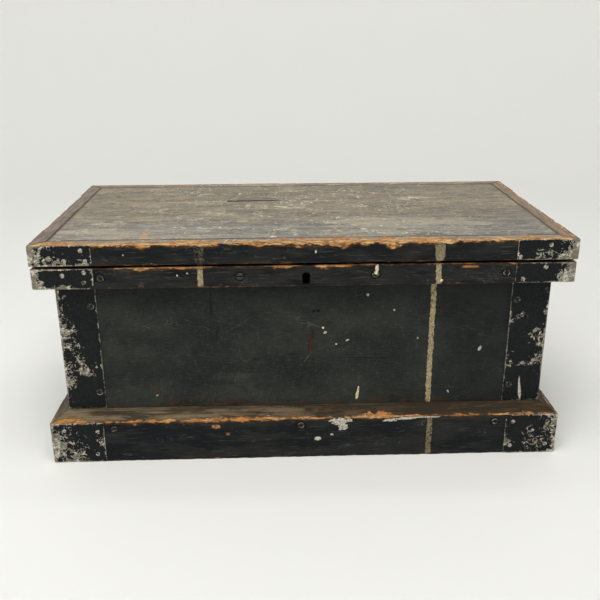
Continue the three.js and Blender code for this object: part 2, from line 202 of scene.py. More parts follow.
LATTICE_SIDES = ("start", "end", "outer", "inner", "bottom", "top")


def lattice_box(along, deep, high):
    """The skin of a box of lattice points: (coordinates, quads, index of LATTICE_SIDES per quad)."""
    counts = (len(along), len(deep), len(high))
    quads, sides = [], []
    for axis in range(3):
        first, second = [a for a in range(3) if a != axis]
        i, j = np.meshgrid(range(counts[first] - 1), range(counts[second] - 1), indexing="ij")
        for end in (0, 1):
            corners = []
            for di, dj in ((0, 0), (1, 0), (1, 1), (0, 1)):
                place = [None, None, None]
                place[axis] = np.full(i.shape, end * (counts[axis] - 1))
                place[first] = i + di
                place[second] = j + dj
                corners.append(np.ravel_multi_index(place, counts))
            faces_out = (end == 1) == (axis != 1)
            if not faces_out:
                corners.reverse()
            quads.append(np.stack([c.ravel() for c in corners], axis=1))
            sides.append(np.full(i.size, 2 * axis + end))
    quads = np.concatenate(quads)
    used, quads = np.unique(quads, return_inverse=True)
    a, b, c = np.unravel_index(used, counts)
    points = np.stack([along[a], deep[b], high[c]], axis=1)
    return points, quads.reshape(-1, 4), np.concatenate(sides)


def new_piece(name, points_mm, faces, materials, face_materials=None, smooth=True):
    mesh = bpy.data.meshes.new(name)
    mesh.from_pydata((np.asarray(points_mm) * MM).tolist(), [], [[int(i) for i in face] for face in faces])
    for material in materials:
        mesh.materials.append(material)
    if face_materials is not None:
        mesh.polygons.foreach_set("material_index", np.asarray(face_materials, np.int32))
    if smooth:
        mesh.shade_smooth()
    piece = bpy.data.objects.new(name, mesh)
    bpy.context.scene.collection.objects.link(piece)
    return piece


def set_attribute(piece, name, values):
    attribute = piece.data.attributes.new(name, "FLOAT", "POINT")
    attribute.data.foreach_set("value", np.asarray(values, np.float32))


def stand_for(piece, body, slot_name, *nodes):
    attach(piece, body)
    if nodes:
        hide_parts(*nodes)
    return piece


# ---- Shader expressions ---------------------------------------------------------------------


class Value:
    """A number that a material works out at each point. Arithmetic on Values makes Math nodes."""

    def __init__(self, shade, socket):
        self.shade, self.socket = shade, socket

    def __add__(self, other):
        return self.shade.math("ADD", self, other)

    def __sub__(self, other):
        return self.shade.math("SUBTRACT", self, other)

    def __rsub__(self, other):
        return self.shade.math("SUBTRACT", other, self)

    def __mul__(self, other):
        return self.shade.math("MULTIPLY", self, other)

    def __pow__(self, power):
        return self.shade.math("POWER", self, power)

    def __abs__(self):
        return self.shade.math("ABSOLUTE", self)

    __radd__, __rmul__ = __add__, __mul__

    def step(self, low, high):
        """0 below low, 1 above high, and a soft step between; low may be above high."""
        node = self.shade.node("MapRange")
        node.interpolation_type = "SMOOTHSTEP"
        for name, value in (("Value", self), ("From Min", low), ("From Max", high)):
            self.shade.set(node.inputs[name], value)
        return Value(self.shade, node.outputs["Result"])


class Shade:
    """Builds one material. `colour` is what has been laid down so far."""

    def __init__(self, name):
        self.material = bpy.data.materials.new(name)
        self.material.use_nodes = True
        self.tree = self.material.node_tree
        self.principled = self.tree.nodes["Principled BSDF"]
        scale = self.node("VectorMath")
        scale.operation = "SCALE"
        scale.inputs["Scale"].default_value = 1 / MM
        self.set(scale.inputs[0], self.node("TexCoord").outputs["Object"])
        self.place = scale.outputs["Vector"]
        split = self.node("SeparateXYZ")
        self.set(split.inputs[0], self.place)
        self.x, self.y, self.z = [Value(self, socket) for socket in split.outputs]
        self.colour = None
        self.bumps = []

    def node(self, kind):
        return self.tree.nodes.new(f"ShaderNode{kind}")

    def set(self, socket, value):
        if isinstance(value, Value):
            value = value.socket
        if isinstance(value, bpy.types.NodeSocket):
            self.tree.links.new(value, socket)
        elif isinstance(value, (int, float)):
            socket.default_value = value
        else:
            socket.default_value = (*value, 1)[: len(socket.default_value)]

    def math(self, operation, a, b=0.0):
        node = self.node("Math")
        node.operation = operation
        self.set(node.inputs[0], a)
        self.set(node.inputs[1], b)
        return Value(self, node.outputs[0])

    def noise(self, cell, detail=2.0, roughness=0.55, seed=0, warp=0.0):
        """Noise whose cells are `cell` mm along X, Y and Z. About 0.5 on average."""
        place = self.place
        for operation, numbers in (
            ("MULTIPLY", tuple(1 / c for c in cell)),
            ("ADD", (seed * 13.1, seed * 7.7, seed * 3.3)),
        ):
            node = self.node("VectorMath")
            node.operation = operation
            self.set(node.inputs[0], place)
            self.set(node.inputs[1], numbers)
            place = node.outputs["Vector"]
        node = self.node("TexNoise")
        self.set(node.inputs["Vector"], place)
        node.inputs["Scale"].default_value = 1
        node.inputs["Detail"].default_value = detail
        node.inputs["Roughness"].default_value = roughness
        node.inputs["Distortion"].default_value = warp
        return Value(self, node.outputs["Fac"])

    def attribute(self, name, output="Fac"):
        node = self.node("Attribute")
        node.attribute_name = name
        return Value(self, node.outputs[output])

    def mix(self, share, a, b):
        """A colour between a and b."""
        node = self.node("Mix")
        node.data_type = "RGBA"
        for index, value in ((0, share), (6, a), (7, b)):
            self.set(node.inputs[index], value)
        return node.outputs[2]

    def blend(self, share, a, b):
        """A number between a and b."""
        node = self.node("Mix")
        for index, value in ((0, share), (2, a), (3, b)):
            self.set(node.inputs[index], value)
        return Value(self, node.outputs[0])

    def lay(self, tint, share, strength=1.0):
        """Covers the colour so far with a tint."""
        self.colour = self.mix(share * strength, self.colour, tint)

    def bump(self, height_mm):
        self.bumps.append(height_mm)

    def finish(self, roughness, metallic=0.0, specular=0.5):
        self.set(self.principled.inputs["Base Color"], self.colour)
        self.set(self.principled.inputs["Roughness"], roughness)
        self.set(self.principled.inputs["Metallic"], metallic)
        self.principled.inputs["Specular IOR Level"].default_value = specular
        node = self.node("Bump")
        node.inputs["Strength"].default_value = 1
        node.inputs["Distance"].default_value = MM
        self.set(node.inputs["Height"], sum(self.bumps[1:], self.bumps[0]))
        self.set(self.principled.inputs["Normal"], node.outputs["Normal"])
        return self.material


# ---- Colours, as linear red, green and blue -------------------------------------------------

BLACK_PAINT = (0.0055, 0.0070, 0.0085)
THIN_BLACK_PAINT = (0.016, 0.017, 0.0155)
BODY_BLACK = (0.0125, 0.0150, 0.0135)
BODY_GREY = (0.026, 0.029, 0.025)
SCUFF_GREY = (0.085, 0.082, 0.068)
STAIN_BROWN = (0.060, 0.030, 0.012)
RED_STAIN = (0.048, 0.017, 0.010)
RED_WOOD = (0.34, 0.135, 0.038)
ORANGE_WOOD = (0.50, 0.225, 0.060)
PALE_WOOD = (0.62, 0.40, 0.18)
DARK_WOOD = (0.165, 0.072, 0.024)
WOOD_DIRT = (0.085, 0.050, 0.026)
AGED_WOOD = (0.30, 0.20, 0.115)
AGED_WOOD_RINGS = (0.21, 0.125, 0.062)
AGED_WOOD_GRAIN = (0.115, 0.062, 0.030)
AGED_WOOD_DIRT = (0.085, 0.055, 0.032)
TOP_BROWN = (0.190, 0.155, 0.100)
TOP_BLUE_GREY = (0.205, 0.195, 0.168)
TOP_OLIVE = (0.30, 0.245, 0.145)
TOP_DARK = (0.050, 0.043, 0.033)
TOP_SCRATCH = (0.60, 0.50, 0.33)
TOP_FLECK = (0.68, 0.61, 0.46)
TOP_PIT = (0.016, 0.014, 0.012)
TOP_THIN_PAINT = (0.16, 0.085, 0.040)
LEFT_RIM, RIGHT_RIM, RIM_GRAIN = (0.225, 0.150, 0.110), (0.29, 0.160, 0.078), (0.070, 0.052, 0.038)
# Painted shade in the lid's joints.
JOINT_PAINTED_SHADE = (0.013, 0.010, 0.008)
# Painted shade inside the coin slot.
SLOT_PAINTED_SHADE = (0.006, 0.005, 0.004)
LEDGE_BROWN = (0.170, 0.130, 0.078)
LEDGE_OLIVE = (0.130, 0.075, 0.024)
LEDGE_DARK = (0.022, 0.016, 0.009)
STRIPE_TAN, STRIPE_PALE_TAN = (0.265, 0.215, 0.125), (0.424, 0.344, 0.200)
BARE_METAL = (0.30, 0.285, 0.230)
METAL_CREAM = (0.62, 0.59, 0.47)
METAL_BROWN = (0.175, 0.155, 0.115)
RUST = (0.085, 0.036, 0.014)
IRON, DARK_IRON_STAIN = (0.052, 0.048, 0.042), (0.022, 0.020, 0.017)
# On screw heads the glint is a painted highlight and the sunk colour is painted shade.
RUBBED_IRON, IRON_GLINT, SUNK_PAINTED_SHADE = (0.34, 0.32, 0.28), (0.30, 0.28, 0.24), (0.003, 0.003, 0.003)
# The pale nail colour is partly rubbed metal, partly painted highlight.
NAIL_DARK, NAIL_PALE_AND_HIGHLIGHT = (0.030, 0.026, 0.022), (0.40, 0.375, 0.31)
# Painted shade inside the keyhole.
KEYHOLE_SHADE_BLACK, KEYHOLE_SHADE_GREY = (0.002, 0.002, 0.002), (0.005, 0.0045, 0.004)
CREAM = (0.80, 0.68, 0.44)
GREY_WHITE = (0.52, 0.49, 0.40)

# The two tan stripes that run down the front: middle, half width, lowest point.
STRIPE_RIGHT = (123.6, 2.5, -1.0)
STRIPE_LEFT = (-98.0, 2.5, 183.0)
COIN_SLOT_LEFT, COIN_SLOT_RIGHT = -81.5, -16.0
LID_JOINT_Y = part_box("lid_board_front")[1][1] / MM
FRONT_ONLY = -110.0  # y of everything that only the front shows

# Patches on the lid: x, y, half width, half depth, colour, strength.
LID_PATCHES = (
    (-152.0, -106.0, 4.5, 13.0, ORANGE_WOOD, 0.9),
    (-135.0, 60.0, 10.0, 5.0, ORANGE_WOOD, 0.45),
    (-165.0, -38.0, 10.0, 6.0, ORANGE_WOOD, 0.5),
    (-60.0, -55.0, 8.0, 5.0, PALE_WOOD, 0.6),
    (-78.0, -20.0, 12.0, 9.0, TOP_SCRATCH, 0.5),
    (134.0, 45.0, 18.0, 5.0, TOP_SCRATCH, 0.95),
    (205.0, -45.0, 42.0, 30.0, TOP_DARK, 0.45),
    (110.0, 95.0, 60.0, 16.0, TOP_DARK, 0.35),
    (118.0, 40.0, 8.0, 7.0, TOP_SCRATCH, 0.7),
    (-140.0, 117.0, 12.0, 4.0, ORANGE_WOOD, 0.8),
    (235.0, -3.0, 12.0, 1.6, TOP_DARK, 1.0),
    (-200.0, -60.0, 16.0, 5.0, TOP_SCRATCH, 0.35),
)
# Marks on the front of the body: x, z, half width, half height, lean, softness, colour, strength.
BODY_MARKS = (
    (5.2, 122.0, 2.6, 14.0, 0.07, 0.6, BLACK_PAINT, 0.7),
    (4.4, 128.0, 1.2, 6.0, 0.1, 0.4, RED_STAIN, 0.9),
    (5.8, 120.0, 2.0, 5.5, -0.1, 0.4, RED_STAIN, 1.0),
    (4.9, 112.0, 1.6, 5.0, 0.1, 0.4, RED_STAIN, 0.9),
    (1.9, 103.5, 0.6, 5.5, 0.75, 0.3, SCUFF_GREY, 0.9),
    (-151.0, 70.5, 2.2, 7.0, -0.5, 0.7, STAIN_BROWN, 0.6),
    (-148.6, 64.5, 1.2, 0.9, 0.0, 0.15, TOP_SCRATCH, 0.6),
    (-91.0, 159.0, 1.3, 14.0, 0.0, 0.6, BLACK_PAINT, 0.85),
    (-86.0, 131.0, 0.9, 7.0, 0.1, 0.6, BLACK_PAINT, 0.85),
    (-72.0, 84.0, 22.0, 3.5, 1.6, 0.95, SCUFF_GREY, 0.16),
    (-86.0, 66.0, 22.0, 9.0, 0.0, 0.95, SCUFF_GREY, 0.12),
    (-24.0, 118.0, 5.0, 18.0, -0.4, 0.95, SCUFF_GREY, 0.09),
    (-62.0, 141.0, 0.9, 9.0, 1.6, 0.8, SCUFF_GREY, 0.26),
    (60.0, 102.0, 34.0, 0.5, 0.0, 0.2, BLACK_PAINT, 0.9),
)
# Chips in the trim's paint: x, z, half width, half height, how red the wood is.
TRIM_CHIPS = ((-90.0, 37.0, 4.0, 2.0, 0.0), (-78.5, 28.5, 1.5, 1.3, 0.0), (153.0, 200.3, 7.5, 1.1, 0.7))

# ---- Wood and paint -------------------------------------------------------------------------


class WoodShade(Shade):
    """A material whose grain runs along its board. x, y and z are still those of the whole box."""

    def __init__(self, name):
        super().__init__(name)
        self.place = self.attribute("board", "Vector").socket

    def grain(self, seed=0):
        """Fine streaks along the board, from 0 to 1."""
        coarse = self.noise((160, 5, 5), 4, 0.6, seed, 0.4)
        fine = self.noise((38, 0.9, 0.9), 3, 0.6, seed + 1)
        return self.blend(0.5, coarse, fine)

    def bare_wood(self, seed=3):
        """The colour of worn wood: golden fibres, with dirt left between them."""
        fibres = self.noise((12, 1.6, 1.6), 5, 0.75, seed, 0.5)
        tone = self.noise((26, 5, 5), 3, 0.6, seed + 4)
        dirt = self.noise((7, 2.6, 2.6), 4, 0.75, seed + 6)
        golden = self.mix(tone.step(0.42, 0.58), ORANGE_WOOD, PALE_WOOD)
        colour = self.mix(fibres.step(0.38, 0.54), DARK_WOOD, golden)
        return self.mix(dirt.step(0.50, 0.58) * 0.85, colour, WOOD_DIRT)

    def lower_bare_wood(self):
        """Bare wood, redder on the pieces below the lid."""
        return self.mix(self.z.step(206, 204) * 0.36, self.bare_wood(seed=1), RED_WOOD)

    def wear(self):
        """How bare the surface is, 0 to 1, and a wider halo where the paint is only thin."""
        wide = self.noise((14, 5, 5), 2, seed=21) - 0.5
        ragged = self.noise((5, 1.3, 1.3), 4, 0.72, 22) - 0.5
        splinters = self.noise((6, 0.5, 0.5), 3, 0.7, 23) - 0.5
        reach = self.attribute("bare") + (wide * 7.0 + (ragged * 8.0 + splinters * 4.0))
        return reach.step(0.0, 0.5), reach.step(-2.6, 0.3)

    def on_front(self):
        return self.y.step(FRONT_ONLY, FRONT_ONLY - 1)

    def stripe(self, middle, half_width, lowest):
        """A ragged upright stripe on the front, 0 to 1."""
        sway = (self.noise((40, 40, 30), 1, seed=31) - 0.5) * 2.2
        ragged = (self.noise((2.5, 2.5, 3.5), 4, seed=32) - 0.5) * 3.4
        spread = self.z.step(204, 212) * 2.0
        off = abs(self.x + sway - middle) - spread
        inside = (off + ragged).step(half_width + 0.35, half_width - 0.35)
        return inside * self.on_front() * self.z.step(lowest - 0.5, lowest + 0.5)

    def spot(self, x, z, half_width, half_height, lean=0.0, ragged=0.9, soft=0.15):
        """A ragged upright patch on the front, centred at x, z, 0 to 1."""
        up = self.z - z
        across = (self.x - x) - up * lean
        distance = abs(across * (1 / half_width)) ** 3 + abs(up * (1 / half_height)) ** 3
        edge = self.noise((2.6, 1.5, 1.2), 4, 0.75, 41) - 0.5
        return (distance + edge * (4 * ragged)).step(1 + soft, 1 - soft) * self.on_front()

    def top_spot(self, x, y, half_width, half_depth):
        """A ragged patch on the lid, centred at x, y, 0 to 1."""
        distance = abs((self.x - x) * (1 / half_width)) ** 2 + abs((self.y - y) * (1 / half_depth)) ** 2
        edge = self.noise((5, 3, 3), 4, 0.7, 43) - 0.5
        broken = self.noise((9, 2.2, 2.2), 4, 0.72, 53)
        return (distance + edge * 4.5).step(1.4, 0.5) * broken.step(0.44, 0.56)

    def curly_scratches(self, cell, where, seed=0, width=0.012):
        """Thin wandering lines, 0 to 1, in the parts where a second noise is high."""
        line = abs(self.noise(cell, 2, 0.5, seed, 0.8) - 0.5).step(width, width * 0.35)
        patches = self.noise(tuple(1.3 * c for c in cell), 3, 0.7, seed + 1)
        return line * patches.step(where, where + 0.05)

    def lay_stripes(self, left_strength):
        left = self.stripe(*STRIPE_LEFT) * left_strength
        both = self.math("MAXIMUM", self.stripe(*STRIPE_RIGHT), left)
        on_lid = self.z.step(204, 206)
        left_side = self.x.step(1, -1)
        on_plinth = self.z.step(53, 51)
        both = both * (1 - on_lid * self.blend(left_side, 0.35, 0.75))
        speckle = self.noise((2.2, 2.2, 3.0), 3, 0.7, 34)
        flaked = self.noise((3.0, 3.0, 2.4), 4, 0.7, 36).step(0.44, 0.56)
        whole = (speckle - on_plinth * 0.05).step(0.34, 0.40) * (1 - on_lid * left_side * (1 - flaked))
        tan = self.mix(speckle.step(0.45, 0.65), STRIPE_TAN, STRIPE_PALE_TAN)
        tan = self.mix(on_plinth * 0.5, tan, STAIN_BROWN)
        self.bump(both * whole * 0.12)
        self.lay(tan, both * whole)

    def lay_wear(self, thin_tint, thin_strength, wood):
        """Lays the thin paint and the bare wood of worn edges, and returns where the wood is bare."""
        bare, thin = self.wear()
        self.lay(thin_tint, thin, thin_strength)
        self.lay(wood, bare)
        return bare


def trim_paint():
    """Blue-black paint on the lid's rim, the band and the plinth."""
    shade = WoodShade("black_paint")
    patches = shade.noise((60, 14, 14), 4, 0.6, 2)
    shade.colour = shade.mix(patches.step(0.42, 0.62), BLACK_PAINT, THIN_BLACK_PAINT)
    streaks = shade.noise((22, 1.3, 1.3), 5, 0.72, 5)
    shade.lay(SCUFF_GREY, streaks.step(0.56, 0.66), 0.42)
    stains = shade.noise((13, 5, 5), 4, 0.7, 7)
    shade.lay(STAIN_BROWN, stains.step(0.60, 0.70), 0.4)
    flecks = shade.noise((3.2, 2.0, 2.0), 4, 0.72, 9)
    shade.lay(TOP_BROWN, flecks.step(0.69, 0.73), 0.8)
    shade.lay(SCUFF_GREY, shade.curly_scratches((26, 9, 9), 0.54, 44), 0.55)
    for x, z, half_width, half_height, redness in TRIM_CHIPS:
        halo = shade.spot(x, z, half_width + 1.2, half_height + 0.8, ragged=0.6, soft=0.5)
        shade.lay(STAIN_BROWN, halo, 0.7)
        wood = shade.mix(redness, shade.bare_wood(seed=13), RED_WOOD)
        shade.lay(wood, shade.spot(x, z, half_width, half_height, ragged=0.6), 0.85)
    shade.lay_stripes(0.9)
    bare = shade.lay_wear(STAIN_BROWN, 0.8, shade.lower_bare_wood())
    shade.bump(shade.grain() * 0.35)
    shade.bump(bare * -0.18)
    shade.bump(shade.noise((1.6, 1.6, 1.6), 3, seed=12) * 0.12)
    gloss = shade.blend(shade.noise((25, 8, 8), 3, seed=13), 0.34, 0.62)
    return shade.finish(shade.blend(bare, gloss, 0.72), specular=0.1)


def body_paint():
    """Flat greenish black on the walls of the body."""
    shade = WoodShade("body_paint")
    mottle = shade.noise((48, 34, 34), 5, 0.62, 2)
    shade.colour = shade.mix(mottle.step(0.34, 0.68), BODY_BLACK, BODY_GREY)
    weave = shade.noise((7, 1.5, 1.5), 4, 0.75, 5)
    shade.lay(SCUFF_GREY, weave.step(0.50, 0.72), 0.36)
    across = shade.noise((1.5, 1.5, 9), 4, 0.75, 6)
    shade.lay(SCUFF_GREY, across.step(0.52, 0.72), 0.24)
    dips = shade.noise((24, 2.6, 2.6), 4, 0.65, 16)
    shade.lay(BLACK_PAINT, dips.step(0.44, 0.34), 0.35)
    smears = shade.noise((30, 14, 14), 4, 0.6, 15, 1.5)
    shade.lay(SCUFF_GREY, smears.step(0.58, 0.76), 0.16)
    shade.lay(SCUFF_GREY, shade.curly_scratches((60, 26, 26), 0.57, 45, 0.007), 0.4)
    specks = shade.noise((1.9, 1.9, 1.9), 2, 0.6, 17)
    shade.lay(TOP_SCRATCH, specks.step(0.76, 0.79), 0.55)
    low = (shade.z + mottle * 30).step(82, 66)
    stains = shade.noise((22, 9, 9), 4, 0.65, 8).step(0.45, 0.62)
    shade.lay(STAIN_BROWN, low * stains, 0.7)
    shade.lay(BLACK_PAINT, shade.z.step(150, 183), 0.35)
    shade.lay(BLACK_PAINT, shade.x.step(118, 150), 0.4)
    grit = shade.noise((1.5, 1.5, 2.2), 4, 0.7, 62)
    grit = shade.blend(grit.step(0.40, 0.56), 0.25, 1.0)
    for x, z, half_width, half_height, lean, soft, tint, strength in BODY_MARKS:
        shade.lay(tint, shade.spot(x, z, half_width, half_height, lean, soft=soft) * strength * grit)
    shade.lay_stripes(0.0)
    shade.lay_wear(STAIN_BROWN, 0.6, shade.bare_wood())
    shade.bump(shade.grain() * 0.26)
    shade.bump(weave * 0.16)
    return shade.finish(shade.blend(shade.noise((40, 20, 20), 3, seed=13), 0.46, 0.68), specular=0.1)


def lay_lid_scratches(shade):
    """Scratches, flecks and worn patches, most of them near the middle of the lid."""
    busy = abs(shade.x + 10).step(215, 70) * 0.75 + 0.25
    streaks = shade.noise((11, 2.4, 2.4), 4, 0.72, 8, 0.7)
    shade.lay(TOP_SCRATCH, streaks.step(0.60, 0.68) * busy, 0.7)
    specks = shade.noise((3.6, 4.2, 3.0), 4, 0.75, 10, 1.5)
    shade.lay(TOP_FLECK, specks.step(0.650, 0.695) * busy)
    patches = shade.noise((120, 38, 38), 3, 0.6, 61, 0.8)
    shade.lay(TOP_DARK, patches.step(0.50, 0.64), 0.30)
    shade.lay(TOP_SCRATCH, patches.step(0.46, 0.34), 0.22)
    flecks = shade.noise((7.0, 5.0, 3.0), 5, 0.8, 58, 0.8)
    shade.lay(TOP_SCRATCH, flecks.step(0.52, 0.64), 0.42)
    shade.lay(TOP_DARK, flecks.step(0.46, 0.36), 0.38)
    for cell, seed in (((22, 16, 16), 46), ((12, 22, 12), 49)):
        shade.lay(TOP_FLECK, shade.curly_scratches(cell, 0.52, seed, 0.014) * busy)
    pits = shade.noise((5.0, 3.4, 3.0), 3, 0.7, 12)
    shade.lay(TOP_PIT, pits.step(0.36, 0.30), 0.75)
    for x, y, half_width, half_depth, tint, strength in LID_PATCHES:
        shade.lay(tint, shade.top_spot(x, y, half_width, half_depth), strength)
    shade.bump(streaks.step(0.60, 0.70) * -0.08)


def lay_coin_slot(shade):
    """Painted shade on the lid boards below their top: from just under it where the coin slot shows the rear
    board's front face, deeper down elsewhere; and a dark line along the slot's back edge.
    """
    in_slot = shade.x.step(COIN_SLOT_LEFT - 1, COIN_SLOT_LEFT + 1)
    in_slot = in_slot * shade.x.step(COIN_SLOT_RIGHT + 1, COIN_SLOT_RIGHT - 8)
    soft = shade.blend(in_slot, 1.6, 0.38)
    below = shade.attribute("below_top").step(soft * 0.3, soft)
    dark_back_edge = in_slot * abs(shade.y - (LID_JOINT_Y + 0.4)).step(1.5, 0.7)
    shade.lay(SLOT_PAINTED_SHADE, shade.math("MAXIMUM", below, dark_back_edge))


def lid_top_wood():
    """Paint worn to a grey-brown film over the wood, scratched all over."""
    shade = WoodShade("worn_lid_top")
    broad = shade.noise((90, 45, 45), 4, 0.6, 1, 0.5)
    front_share = (shade.y + broad * 60).step(20, -60)
    shade.colour = shade.mix(front_share, TOP_BROWN, TOP_BLUE_GREY)
    shade.lay(TOP_DARK, shade.y.step(0, 130), 0.16)
    grain = shade.grain(seed=6)
    film = shade.noise((34, 9, 9), 5, 0.7, 4, 0.6)
    shade.lay(TOP_DARK, film.step(0.48, 0.64), 0.62)
    shade.lay(TOP_DARK, grain.step(0.52, 0.40), 0.6)
    olive = shade.noise((26, 12, 12), 4, 0.65, 19)
    shade.lay(TOP_OLIVE, olive.step(0.52, 0.64), 0.5)
    lay_lid_scratches(shade)
    rim_colour = shade.mix(shade.x.step(0, 1), LEFT_RIM, RIGHT_RIM)
    rim_grain = shade.noise((30, 2.5, 2.5), 4, 0.65, 17)
    rim_colour = shade.mix(rim_grain.step(0.42, 0.58), RIM_GRAIN, rim_colour)
    shade.lay(rim_colour, abs(shade.x).step(238.6, 239.2), 0.8)
    # Painted shade along the joints round the edges of the lid's top faces.
    shade.lay(JOINT_PAINTED_SHADE, shade.attribute("edge").step(2.3, 0.7), 0.93)
    bare = shade.lay_wear(TOP_THIN_PAINT, 0.45, shade.bare_wood())
    lay_coin_slot(shade)
    shade.bump(grain * 0.30)
    shade.bump(film * 0.25)
    return shade.finish(shade.blend(bare, shade.blend(film, 0.36, 0.62), 0.75))


def ledge_wood():
    """The sloping top of the plinth: brown where the paint has gone, blacker to the right."""
    shade = WoodShade("plinth_ledge")
    grain = shade.grain(seed=2)
    blotches = shade.noise((46, 7, 7), 5, 0.65, 5)
    dark = shade.x.step(-90, 110) * 0.92 + blotches.step(0.46, 0.62) * 0.85
    shade.colour = shade.mix(shade.math("MINIMUM", dark, 0.96), LEDGE_BROWN, LEDGE_DARK)
    olive = shade.noise((30, 4, 4), 4, 0.7, 7)
    shade.lay(LEDGE_OLIVE, olive.step(0.5, 0.62), 0.45)
    shade.lay(LEDGE_DARK, grain.step(0.52, 0.40), 0.7)
    shade.lay_wear(STAIN_BROWN, 0.5, shade.lower_bare_wood())
    shade.bump(grain * 0.3)
    return shade.finish(0.66, specular=0.15)


def plain_wood():
    """Unpainted wood inside and underneath, gone brown with age."""
    shade = WoodShade("aged_wood")
    grain = shade.grain(seed=4)
    rings = shade.noise((220, 6, 6), 3, 0.5, 6, 1.0)
    shade.colour = shade.mix(rings.step(0.42, 0.58), AGED_WOOD, AGED_WOOD_RINGS)
    shade.lay(AGED_WOOD_GRAIN, grain.step(0.5, 0.36), 0.6)
    dirt = shade.noise((50, 30, 30), 4, seed=8)
    shade.lay(AGED_WOOD_DIRT, dirt.step(0.5, 0.75), 0.45)
    shade.bump(grain * 0.25)
    return shade.finish(0.72, specular=0.3)


# ---- Metal, painted shade and spilt paint ---------------------------------------------------


def corner_metal():
    """Black paint flaking off grey sheet iron. The "worn" attribute says where most is gone."""
    shade = Shade("corner_metal")
    flakes = shade.noise((4.6, 4.6, 4.6), 3, 0.62, 1, 1.3)
    fine = shade.noise((1.4, 1.4, 1.4), 3, 0.7, 2)
    level = flakes * 0.92 + fine * 0.08 + (shade.attribute("worn") - 0.5) * 0.42
    bare = level.step(0.590, 0.600)
    cloud = shade.noise((3.4, 3.4, 3.4), 4, 0.7, 5)
    shade.colour = shade.mix(cloud.step(0.44, 0.56), METAL_BROWN, BARE_METAL)
    shade.lay(METAL_CREAM, cloud.step(0.54, 0.62))
    shade.lay(METAL_CREAM, level.step(0.635, 0.595), 0.5)
    shade.lay(RUST, shade.noise((8, 8, 8), 4, 0.7, 6).step(0.60, 0.68), 0.6)
    paint = shade.mix(fine.step(0.4, 0.75), BLACK_PAINT, THIN_BLACK_PAINT)
    freckles = shade.noise((2.2, 2.2, 2.2), 3, 0.7, 8)
    paint = shade.mix(freckles.step(0.64, 0.70) * 0.5, paint, RUST)
    shade.colour = shade.mix(bare, paint, shade.colour)
    shade.bump(bare * -0.14)
    shade.bump(flakes * 0.2)
    shade.bump(fine * 0.06)
    return shade.finish(shade.blend(bare, 0.46, 0.58), metallic=bare * 0.3, specular=0.1)


def dark_iron():
    """Old iron: screws, hinges and the lock. "rim" is the place across a screw's head, which places a painted
    highlight ring on it and painted shade at its rim and in its slot.
    """
    shade = Shade("dark_iron")
    cloud = shade.noise((6, 6, 6), 4, 0.65, 1)
    fine = shade.noise((0.9, 0.9, 0.9), 3, 0.7, 3)
    shade.colour = shade.mix(cloud.step(0.4, 0.65), IRON, DARK_IRON_STAIN)
    shade.lay(RUST, fine.step(0.55, 0.75), 0.6)
    shade.lay(RUBBED_IRON, shade.noise((2.4, 2.4, 2.4), 2, seed=5).step(0.6, 0.75), 0.6)
    rim = shade.attribute("rim")
    # Painted highlight: a light ring across each screw head.
    glint = rim.step(0.52, 0.60) * rim.step(0.76, 0.70)
    shade.lay(IRON_GLINT, glint * cloud.step(0.50, 0.60))
    # Painted shade: black round the rim of each screw head and in its slot.
    shaded_ring = rim.step(0.72, 0.80)
    shade.lay(SUNK_PAINTED_SHADE, shaded_ring)
    shade.bump(fine * 0.05)
    return shade.finish(shade.blend(cloud, 0.45, 0.75), metallic=(1 - shaded_ring) * 0.4, specular=0.15)


def nail_rubbed_and_highlit():
    """Nail heads with pale patches over dark iron: partly paint rubbed off, partly painted highlight on their
    domes.
    """
    shade = Shade("nail_rubbed_and_highlit")
    cloud = shade.noise((2.6, 2.6, 2.6), 3, seed=1)
    shade.colour = shade.mix(cloud.step(0.42, 0.52), NAIL_DARK, NAIL_PALE_AND_HIGHLIGHT)
    shade.bump(shade.noise((0.8, 0.8, 0.8), 2, seed=3) * 0.05)
    return shade.finish(0.5, metallic=0.5)


def painted_keyhole_shade():
    """Near-black painted shade on the faces cut inside the keyhole."""
    shade = Shade("keyhole_painted_shade")
    cloud = shade.noise((2.0, 2.0, 2.0), 3, 0.7, 1)
    shade.colour = shade.mix(cloud.step(0.45, 0.65), KEYHOLE_SHADE_BLACK, KEYHOLE_SHADE_GREY)
    shade.bump(cloud * 0.1)
    return shade.finish(0.85, specular=0.05)


def spilt_paint(name, tint):
    """Old drips and spots of pale paint."""
    shade = Shade(name)
    cloud = shade.noise((2.2, 2.2, 2.2), 3, 0.65, 1)
    shade.colour = shade.mix(cloud.step(0.56, 0.36), tint, tuple(0.30 * c for c in tint))
    shade.bump(cloud * 0.08)
    return shade.finish(0.5)


TRIM_PAINT = trim_paint()
BODY_PAINT = body_paint()
LID_TOP = lid_top_wood()
LEDGE = ledge_wood()
PLAIN_WOOD = plain_wood()
CORNER_METAL = corner_metal()
DARK_IRON = dark_iron()
NAIL_METAL = nail_rubbed_and_highlit()
KEYHOLE_SHADE_MATERIAL = painted_keyhole_shade()
CREAM_PAINT = spilt_paint("cream_paint", CREAM)
WHITE_PAINT = spilt_paint("grey_white_paint", GREY_WHITE)

# ---- Sizes, from the frame ------------------------------------------------------------------


def box_mm(node):
    low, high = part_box(node)
    return np.array(low) / MM, np.array(high) / MM


class Ring:
    """The sizes of four boards that make a mitred frame."""

    def __init__(self, prefix):
        front, right, back = [box_mm(f"{prefix}_{side}") for side in ("front", "right", "back")]
        self.outer = (right[1][0], (back[1][1] - front[0][1]) / 2)
        self.inner = (right[0][0], (back[0][1] - front[1][1]) / 2)
        self.bottom, self.top = front[0][2], front[1][2]


